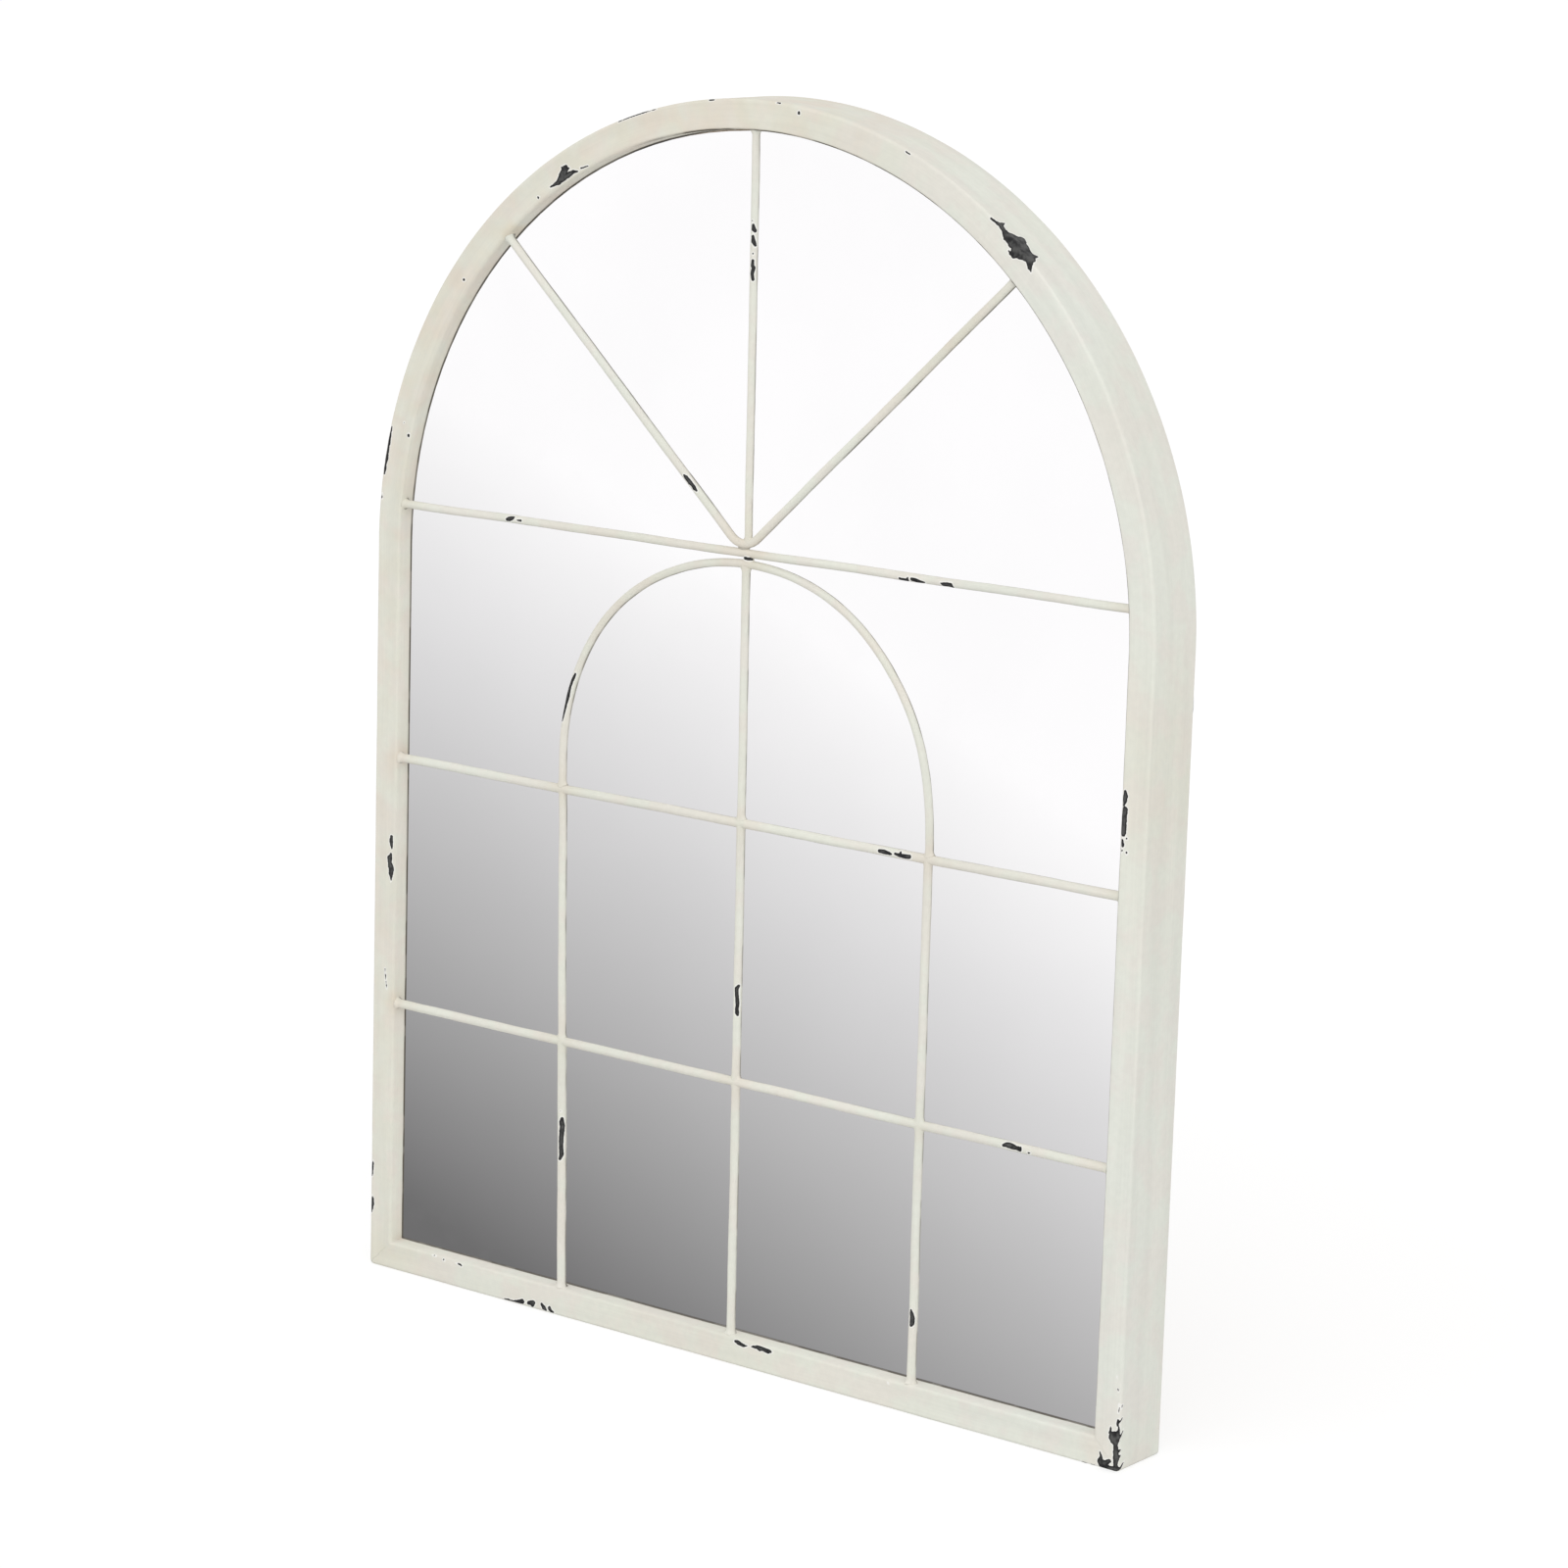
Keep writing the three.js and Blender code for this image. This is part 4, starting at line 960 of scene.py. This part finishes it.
def weld(name, x, low, high, waist, flare, deep, painted_shade, seed, chips=()):
    """Weld metal that fills the space between two rods, one above the other: an upright plug,
    oval in section, that widens from its waist to both ends by the square of the way."""
    z = np.linspace(low, high, 25)[:, None]
    turn = np.linspace(0, 2 * np.pi, 32, endpoint=False)[None]
    way = (2 * z - low - high) / (high - low)
    lumps = 0.92 + 0.16 * waves(z, turn, 2 * np.pi, seed, 3, 9)
    points = [
        x + (waist + flare * way**2) * lumps * np.cos(turn),
        ROD_Y + deep * lumps * np.sin(turn),
        z + 0 * turn,
    ]
    chip = chip_level(points[0], points[2], chips) * (points[1] < ROD_Y)
    marks = {"chip": chip, "stain": 0.5, "painted_shade": painted_shade}
    around = np.linspace(0, 2 * math.pi * waist, 33)
    piece = skin(name, dict(points=np.stack(points, -1), along=z[:, 0], around=around, marks=marks))
    piece.data.materials.append(rod_paint)
    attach(piece, "frame")


# Under the V the weld is painted shade all over: a dark filler for the shadow between bend and
# rail.
under_fan = dict(waist=4.4, flare=1.5, deep=1.6, painted_shade=1.0, seed=61)
over_arch = dict(waist=3.6, flare=2.2, deep=2.5, painted_shade=0.0, seed=62)
bridge_chip = [(-1.2, 518.9, 0.9), (2.8, 518.7, 1), (4.4, 518.8, 0.9)]
weld("weld_under_fan", FAN_SHIFT, UPPER_RAIL, FAN_FOOT, **under_fan)
weld("weld_over_inner_arch", 0.6, ARCH_TOP, UPPER_RAIL, chips=[bridge_chip], **over_arch)

# ---------------------------------------------------------------------------------------------
# Mirror: 3 mm glass, silvered on its back, its sharp edges ground off. It stands 11 mm behind the
# frame's face with a millimetre of room all round.


def give(node, made):
    """A CAD piece that stays gets its finish."""
    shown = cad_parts[node]
    shown.data.materials.clear()
    shown.data.materials.append(made)


silvered, tree, shader, coordinates = material("silvered_glass", Metallic=1.0)
patches = use(tree, MOTTLING, {"Coordinates": coordinates, "Low": 0.3, "High": 0.7})
silver = mixed(tree, patches["Patches"], srgb(252, 251, 252), srgb(250, 249, 250))
tree.links.new(silver, shader["Base Color"])
wiped = ramp(tree, patches["Grain"], 0.4, 0.8, 0.02, 0.05)
tree.links.new(wiped, shader["Roughness"])
give("mirror_glass", silvered)

# ---------------------------------------------------------------------------------------------
# Mastic: five upright beads of grey-cream putty, laid on the board and pressed flat by the glass,
# which they bond to it.

mastic, tree, shader, coordinates = material("mastic", Roughness=0.75)
patches = use(tree, MOTTLING, {"Coordinates": coordinates})
putty = mixed(tree, patches["Grain"], srgb(188, 180, 163), srgb(214, 207, 192))
tree.links.new(putty, shader["Base Color"])
bump(tree, shader, maths(tree, "MULTIPLY", patches["Grain"], 0.4))
for bead in ("far_left", "left", "centre", "right", "far_right"):
    give(f"mastic_bead_{bead}", mastic)

# ---------------------------------------------------------------------------------------------
# Backing board: 6 mm fibreboard, sawn to the glass's outline and left bare: pressed wood dust,
# a little clumped, with a dark fibre here and there.

fibreboard, tree, shader, coordinates = material("fibreboard", Specular_IOR_Level=0.2)
patches = use(tree, MOTTLING, {"Coordinates": coordinates, "Low": 0.3, "High": 0.7})
fibres = noise(tree, coordinates, 0.0009, 3.0)
clumps = noise(tree, coordinates, 0.006, 5.0)
flecks = maths(tree, "MULTIPLY", fibres, 0.6)
flecks = maths(tree, "ADD", flecks, maths(tree, "MULTIPLY", clumps, 0.4))
brown = mixed(tree, ramp(tree, flecks, 0.38, 0.62), srgb(148, 117, 82), srgb(170, 139, 102))
brown = mixed(tree, maths(tree, "MULTIPLY", patches["Patches"], 0.3), brown, srgb(148, 116, 82))
hairs = ramp(tree, noise(tree, coordinates, 0.0005, 4.0, (1, 1, 0.2)), 0.68, 0.8, 0.0, 0.5)
brown = mixed(tree, hairs, brown, srgb(96, 68, 44))
tree.links.new(brown, shader["Base Color"])
tree.links.new(ramp(tree, flecks, 0.35, 0.65, 0.9, 0.74), shader["Roughness"])
bump(tree, shader, maths(tree, "MULTIPLY", flecks, 0.12))
give("backing_board", fibreboard)

# ---------------------------------------------------------------------------------------------
# Lugs: nine short angles of 18 x 1.5 mm steel strip, bent over a small radius, welded by a bead
# along each side inside the frame and painted with it. The board is screwed to their free legs.

LUG_WIDTH, LUG_THICKNESS = 18.0, 1.5
LUG_REAR, LUG_FREE_LEG = 35.0, 14.3
LUG_BEND, LUG_CORNERS = 2.25, 3.0
BEAD_START, BEAD_LENGTH, BEAD_SIZE = 23.5, 12, 1.5
BOARD_BACK = 21.0
lug_wall_leg = LUG_REAR - BOARD_BACK - LUG_THICKNESS / 2 - LUG_BEND
lug_line = bent_line(
    (LUG_THICKNESS / 2, LUG_REAR),
    -90,
    [(lug_wall_leg, 0), (math.pi / 2 * LUG_BEND, 90), (LUG_FREE_LEG, 0)],
)


def strip(line, width, thickness, end_radii):
    """A flat strip bent along a line, as three grids of numbers: across its width, and the two
    coordinates of the line's plane. Its edges are rounded, and at an end with a radius its width
    narrows along a quarter circle."""
    length, at = line
    ends = np.linspace(0, 1, 9) ** 2
    first, last = (ends * max(radius, 0.6) for radius in end_radii)
    stations = np.concatenate([first, np.linspace(0, length, 60), length - last])
    stations = np.unique(stations.round(4))
    a, b, heading = (values[:, None] for values in at(stations))
    half = np.full_like(stations, width / 2)
    for radius, left in zip(end_radii, (stations, length - stations)):
        cut = np.clip(radius - left, 0, radius)
        half = half - (radius - np.sqrt(radius**2 - cut**2))
    quarter = np.linspace(0, np.pi / 2, 4)
    round_off = 0.3
    corner_w, corner_n = round_off * (1 - np.cos(quarter)), round_off * (1 - np.sin(quarter))
    low, high = thickness / 2 - corner_n, -(thickness / 2 - corner_n[::-1])
    n = np.concatenate([low, high, high[::-1], low[::-1]])
    right = half[:, None] - np.append(corner_w, corner_w[::-1])
    w = np.concatenate([right, -right], 1)
    a, b = a - n * np.sin(heading), b + n * np.cos(heading)
    return w, a + 0 * w, b + 0 * w, stations


def build_lug(name, x, z, degrees, seed):
    """One lug on the wall at X, Z, which it meets at an angle, and its two beads of weld."""
    out_x, out_z = math.cos(math.radians(degrees)), math.sin(math.radians(degrees))

    def at_wall(inward, y, sideways):
        """Points that lie so far in from the wall, so deep and so far sideways along it."""
        across = x - inward * out_x - sideways * out_z
        return np.stack([across, y, z - inward * out_z + sideways * out_x], -1)

    w, inward, y, stations = strip(lug_line, LUG_WIDTH, LUG_THICKNESS, (0.0, LUG_CORNERS))
    around = np.linspace(0, 2 * LUG_WIDTH, w.shape[1] + 1)
    grids = [dict(points=at_wall(inward, y, w), along=stations, around=around)]
    way = np.linspace(0, 1, 25)[:, None]
    turn = np.linspace(0, 2 * np.pi, 12, endpoint=False)[None]
    for sign in (-1, 1):
        lumps = 0.75 + 0.5 * waves(BEAD_LENGTH * way, turn, 2 * np.pi, seed + sign, 2.5, 6)
        size = BEAD_SIZE * lumps * np.sqrt(np.clip(1 - (2 * way - 1) ** 4, 0.01, 1))
        bead = at_wall(
            0.5 + size * np.cos(turn),
            BEAD_START + BEAD_LENGTH * way + 0 * turn,
            sign * (LUG_WIDTH / 2 + 0.1) + size * np.sin(turn),
        )
        along = BEAD_LENGTH * way[:, 0]
        grids.append(dict(points=bead, along=along, around=np.linspace(0, 9, 13)))
    piece = skin(name + "_painted", *grids)
    piece.data.materials.append(tube_paint)
    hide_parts(name)
    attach(piece, "frame")


lug_places = {f"{side}_{level}": (sign * WALL, z, 90 - sign * 90)
              for side, sign in (("left", -1), ("right", 1))
              for level, z in (("lower", 120), ("upper", 400))}
for name, degrees in (("arch_right", 40), ("arch_crown", 90), ("arch_left", 140)):
    lug_places[name] = (*on_bow(degrees, TUBE_FACE, 0)[:2], degrees)
for side, sign in (("left", -1), ("right", 1)):
    lug_places[f"bottom_{side}"] = (sign * 160, TUBE_FACE, -90)
for seed, (name, (x, z, degrees)) in enumerate(lug_places.items(), 71):
    build_lug("lug_" + name, x, z, degrees, seed * 3)

# ---------------------------------------------------------------------------------------------
# Board screws: zinc-plated pan heads with a cross recess, driven through the lugs into the board.
# Each head stops at a turn of its own.

SCREW_SIDES = 72
BOARD_SCREW = dict(shank=3.5, length=6.0, head=8.0, head_height=2.4)
HOLE_FROM_WALL = 10.3


def build_zinc():
    """Bright zinc plate: cool grey metal, its shine clouded in small patches."""
    made, tree, shader, coordinates = material("zinc_plate", Metallic=1.0)
    patches = use(tree, MOTTLING, {"Coordinates": coordinates, "Low": 0.3, "High": 0.7})
    spangle = noise(tree, coordinates, 0.0015, 3.0)
    tone = mixed(tree, ramp(tree, spangle, 0.3, 0.7), srgb(176, 179, 184), srgb(212, 214, 216))
    dulled = ramp(tree, patches["Grain"], 0.5, 0.75, 0.0, 0.5)
    tree.links.new(mixed(tree, dulled, tone, srgb(158, 157, 152)), shader["Base Color"])
    tree.links.new(ramp(tree, spangle, 0.3, 0.7, 0.24, 0.42), shader["Roughness"])
    bump(tree, shader, maths(tree, "MULTIPLY", spangle, 0.02))
    return made


zinc = build_zinc()


def build_screw(name, seat, turned, shank, length, head, head_height):
    """A pan-head screw that points to the front from its seat. Its head rises as the root of
    1 - (r / R)^3; the recess is a cross whose walls slope in over a tenth of a millimetre."""
    turn = np.linspace(0, 2 * np.pi, SCREW_SIDES, endpoint=False)[None]
    big, small, arm = head / 2, shank / 2, 0.27 * head
    under = [[0.2, -length], [small, 1.5 - length], [small, 0], [big - 0.2, 0], [big, 0.2]]
    under = np.array(under)
    rim = big * np.cos(np.linspace(0, 1.1, 12))
    top = np.concatenate([rim, np.linspace(rim[-1], 0.03, 22)[1:]])
    dome = head_height * (0.35 + 0.65 * np.sqrt(np.maximum(1 - (top / big) ** 3, 0)))
    r = np.concatenate([under[:, 0], top])[:, None]
    y = np.concatenate([under[:, 1], dome])[:, None]
    one, other = np.abs(r * np.cos(turn + turned)), np.abs(r * np.sin(turn + turned))
    narrow, wide = np.minimum(one, other), np.maximum(one, other)
    recess = np.clip((0.07 * head - narrow) / 0.12, 0, 1) * np.clip((arm - wide) / 0.35, 0, 1)
    y = y - 0.5 * head_height * recess * (np.arange(len(r))[:, None] >= len(under))
    x0, y0, z0 = seat
    points = np.stack([x0 + r * np.cos(turn), y0 + y, z0 + r * np.sin(turn)], -1)
    along = np.append(0, np.cumsum(np.hypot(np.diff(r[:, 0]), np.diff(y[:, 0]))))
    around = np.linspace(0, math.pi * head, SCREW_SIDES + 1)
    piece = skin(name + "_head", dict(points=points, along=along, around=around))
    piece.data.materials.append(zinc)
    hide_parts(name)
    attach(piece, "frame")


screw_turns = np.random.default_rng(5).uniform(0, math.pi / 2, 13)
for turned, (name, (x, z, degrees)) in zip(screw_turns, lug_places.items()):
    angle = math.radians(degrees)
    seat = (
        x - HOLE_FROM_WALL * math.cos(angle),
        BOARD_BACK + LUG_THICKNESS,
        z - HOLE_FROM_WALL * math.sin(angle),
    )
    build_screw("board_screw_" + name, seat, turned, **BOARD_SCREW)

# ---------------------------------------------------------------------------------------------
# Hangers: on the back of each leg a zinc-plated strap, folded double round the straight bar of a
# D ring bent from 3 mm wire, and held by two screws. The ring swings in the strap's eye.

PIVOT_Z = 470.0
PIVOT_Y = TUBE_DEPTH + 2.8
HANGER_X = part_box("hanger_ring_right")[0].x / MM / 2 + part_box("hanger_ring_right")[1].x / MM / 2
STRAP_WIDTH, STRAP_THICKNESS, STRAP_END = 11.0, 0.98, 5.4
STRAP_LENGTH, STRAP_RETURN = 46, 42.2
EYE_RADIUS, EYE_TURN = 2.3, 267
THROAT_RADIUS, THROAT_TURN = 1.5, 87
WIRE_RADIUS = 1.5
RING_BAR, RING_SIDE, RING_LOOP = 12, 7, 8
RING_LEAN = math.radians(3.37)
HANGER_SCREW = dict(shank=3.4, length=7.0, head=6.6, head_height=2.2)
strap_line = bent_line(
    (TUBE_DEPTH + 0.5, PIVOT_Z - STRAP_LENGTH),
    90,
    [
        (STRAP_LENGTH, 0),
        (math.radians(EYE_TURN) * EYE_RADIUS, -EYE_TURN),
        (math.radians(THROAT_TURN) * THROAT_RADIUS, THROAT_TURN),
        (STRAP_RETURN, 0),
    ],
)
ring_corner, ring_side = (math.pi, -90), (RING_SIDE, 0)
ring_length, ring_at = bent_line(
    (-RING_BAR / 2, 0),
    0,
    [(RING_BAR, 0), ring_corner, ring_side, (RING_LOOP * math.pi, -180), ring_side, ring_corner],
)
for side, sign in (("left", -1), ("right", 1)):
    w, y, z, stations = strip(strap_line, STRAP_WIDTH, STRAP_THICKNESS, (STRAP_END, STRAP_END))
    points = np.stack([sign * HANGER_X + w, y, z], -1)
    around = np.linspace(0, 24, w.shape[1] + 1)
    strap = skin(f"hanger_strap_{side}_folded", dict(points=points, along=stations, around=around))
    stations = np.linspace(0, ring_length, 160, endpoint=False)
    a, b, heading = (values[:, None] for values in ring_at(stations))
    turn = np.linspace(0, 2 * np.pi, 20, endpoint=False)[None]
    wire_x = a - WIRE_RADIUS * np.cos(turn) * np.sin(heading)
    wire_y = WIRE_RADIUS * np.sin(turn) + 0 * a
    wire_z = b + WIRE_RADIUS * np.cos(turn) * np.cos(heading)
    points = np.stack(
        [
            sign * HANGER_X + wire_x,
            PIVOT_Y + wire_y * math.cos(RING_LEAN) - wire_z * math.sin(RING_LEAN),
            PIVOT_Z + wire_y * math.sin(RING_LEAN) + wire_z * math.cos(RING_LEAN),
        ],
        -1,
    )
    along, around = np.append(stations, ring_length), np.linspace(0, 9.4, 21)
    wire = dict(points=points, along=along, around=around, ring=True)
    ring = skin(f"hanger_ring_{side}_bent", wire)
    for piece, node, body in (
        (strap, "hanger_strap_", "frame"),
        (ring, "hanger_ring_", f"ring_{side}"),
    ):
        piece.data.materials.append(zinc)
        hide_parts(node + side)
        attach(piece, body)
    for level, drop, turned in (
        ("upper", 22.8, screw_turns[9 + sign]),
        ("lower", 39, screw_turns[11 + sign]),
    ):
        seat = (sign * HANGER_X, TUBE_DEPTH + 2, PIVOT_Z - drop)
        build_screw(f"hanger_screw_{side}_{level}", seat, turned, **HANGER_SCREW)

# ---------------------------------------------------------------------------------------------
# Bumpers: two moulded rubber pads, round-edged with a shallow dish, stuck on the bottom rail's
# back, where they keep the frame off the wall.

BUMPER_FROM_SIDE = 24
rubber, tree, shader, coordinates = material("rubber", Specular_IOR_Level=0.3)
patches = use(tree, MOTTLING, {"Coordinates": coordinates, "Low": 0.3, "High": 0.7})
dust = ramp(tree, patches["Grain"], 0.4, 0.7, 0.0, 0.35)
tree.links.new(mixed(tree, dust, srgb(36, 36, 37), srgb(92, 90, 86)), shader["Base Color"])
tree.links.new(ramp(tree, patches["Grain"], 0.3, 0.7, 0.62, 0.82), shader["Roughness"])
bump(tree, shader, maths(tree, "MULTIPLY", noise(tree, coordinates, 0.0006, 3.0), 0.05))
quarter = np.linspace(0, np.pi / 2, 8)
# The pad's outline, from its foot over the round edge into the dish: radius, then height.
bumper_r = np.concatenate(
    [[6.0, 5.95], 4.6 + 1.1 * np.cos(quarter), [3.4], 2.9 - 0.5 * np.sin(quarter), [0.05]]
)
bumper_y = np.concatenate(
    [[0.0, 1.2], 4.5 + 1.1 * np.sin(quarter), [5.6], 5.5 - 0.9 * np.sin(quarter), [4.6]]
)
for side, sign in (("left", -1), ("right", 1)):
    turn = np.linspace(0, 2 * np.pi, 48, endpoint=False)[None]
    points = [
        sign * (HALF_WIDTH - BUMPER_FROM_SIDE) + bumper_r[:, None] * np.cos(turn),
        TUBE_DEPTH + bumper_y[:, None] + 0 * turn,
        TUBE_FACE / 2 + bumper_r[:, None] * np.sin(turn),
    ]
    along = np.append(0, np.cumsum(np.hypot(np.diff(bumper_r), np.diff(bumper_y))))
    pad = dict(points=np.stack(points, -1), along=along, around=np.linspace(0, 37.7, 49))
    piece = skin(f"bumper_{side}_moulded", pad)
    piece.data.materials.append(rubber)
    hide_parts(f"bumper_{side}")
    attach(piece, "frame")

# ---------------------------------------------------------------------------------------------
# Light, backdrop and floor: an even pale room, a little brighter ahead, a large soft lamp ahead
# and to the right, and a white floor that takes the mirror's shadow.

REACH = 120.0
FLOOR_COLOUR = (0.4, 0.4, 0.4, 1)
# The floor gives off the first to all rays, and the second more to the camera alone.
FLOOR_GLOW, FLOOR_GLOW_SEEN = 0.39, 0.27
ROOM_SLOPE, ROOM_LEVEL = (0.05, -0.25, -0.05), 0.93
MIRRORED_SLOPE, MIRRORED_LEVEL = (4.227, 0, 5.783), 4.547
floor_mesh = bpy.data.meshes.new("floor")
floor_corners = [(-REACH, -REACH), (REACH, -REACH), (REACH, REACH), (-REACH, REACH)]
floor_mesh.from_pydata([(x, y, rail_low.z) for x, y in floor_corners], [], [(0, 1, 2, 3)])
floor = bpy.data.objects.new("floor", floor_mesh)
bpy.context.scene.collection.objects.link(floor)
floor.visible_glossy = False
floor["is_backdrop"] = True
floor_paper = bpy.data.materials.new("floor_paper")
floor_paper.use_nodes = True
tree = floor_paper.node_tree
tree.nodes.clear()
matt = place(tree, "BsdfDiffuse", {"Color": FLOOR_COLOUR})
seen = place(tree, "LightPath").outputs["Is Camera Ray"]
strength = maths(tree, "MULTIPLY_ADD", seen, FLOOR_GLOW_SEEN, FLOOR_GLOW)
glow = place(tree, "Emission", {"Strength": strength})
both = place(tree, "AddShader", {0: matt.outputs[0], 1: glow.outputs[0]})
surface = tree.nodes.new("ShaderNodeOutputMaterial")
tree.links.new(both.outputs[0], surface.inputs["Surface"])
floor_mesh.materials.append(floor_paper)

lamp = bpy.data.objects.new("soft_lamp", bpy.data.lights.new("soft_lamp", "AREA"))
lamp.data.shape = "DISK"
lamp.data.size = 2.4
lamp.data.energy = 15
lamp.location = (2.1, -2.4, 1.6)
lamp.rotation_euler = (Vector((0, 0, 0)) - lamp.location).to_track_quat("-Z", "Y").to_euler()
bpy.context.scene.collection.objects.link(lamp)


def graded(tree, direction, slope, middle, lowest, highest):
    """A level that changes evenly with direction: its dot product with a slope, plus a middle."""
    fall = place(tree, "VectorMath", {0: direction, 1: slope}, operation="DOT_PRODUCT")
    level = maths(tree, "ADD", fall.outputs["Value"], middle)
    return place(tree, "Clamp", {"Value": level, "Min": lowest, "Max": highest}).outputs[0]


world = bpy.data.worlds.new("pale_room")
world.use_nodes = True
bpy.context.scene.world = world
tree = world.node_tree
tree.nodes.clear()
direction = place(tree, "TexCoord").outputs["Generated"]
paths = place(tree, "LightPath").outputs
room = graded(tree, direction, ROOM_SLOPE, ROOM_LEVEL, 0.0, 2.0)
around_room = place(tree, "Background", {"Color": room, "Strength": 1.0})
mirrored = graded(tree, direction, MIRRORED_SLOPE, MIRRORED_LEVEL, 0.16, 1.02)
in_mirror = place(tree, "Background", {"Color": mirrored, "Strength": 1.0})
behind = place(tree, "Background", {"Color": (1, 1, 1, 1), "Strength": 1.0})
# Only rays that come off glass or metal before any matt surface see what the mirror shows.
straight_in = maths(tree, "SUBTRACT", paths["Is Glossy Ray"], paths["Diffuse Depth"])
shown = {0: straight_in, 1: around_room.outputs[0], 2: in_mirror.outputs[0]}
first = place(tree, "MixShader", shown)
through = maths(tree, "MAXIMUM", paths["Is Camera Ray"], paths["Is Transmission Ray"])
second = place(tree, "MixShader", {0: through, 1: first.outputs[0], 2: behind.outputs[0]})
surface = tree.nodes.new("ShaderNodeOutputWorld")
tree.links.new(second.outputs[0], surface.inputs["Surface"])

# The glass shows the pale room alone, and neither the bars nor the frame.
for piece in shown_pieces():
    piece.visible_glossy = False
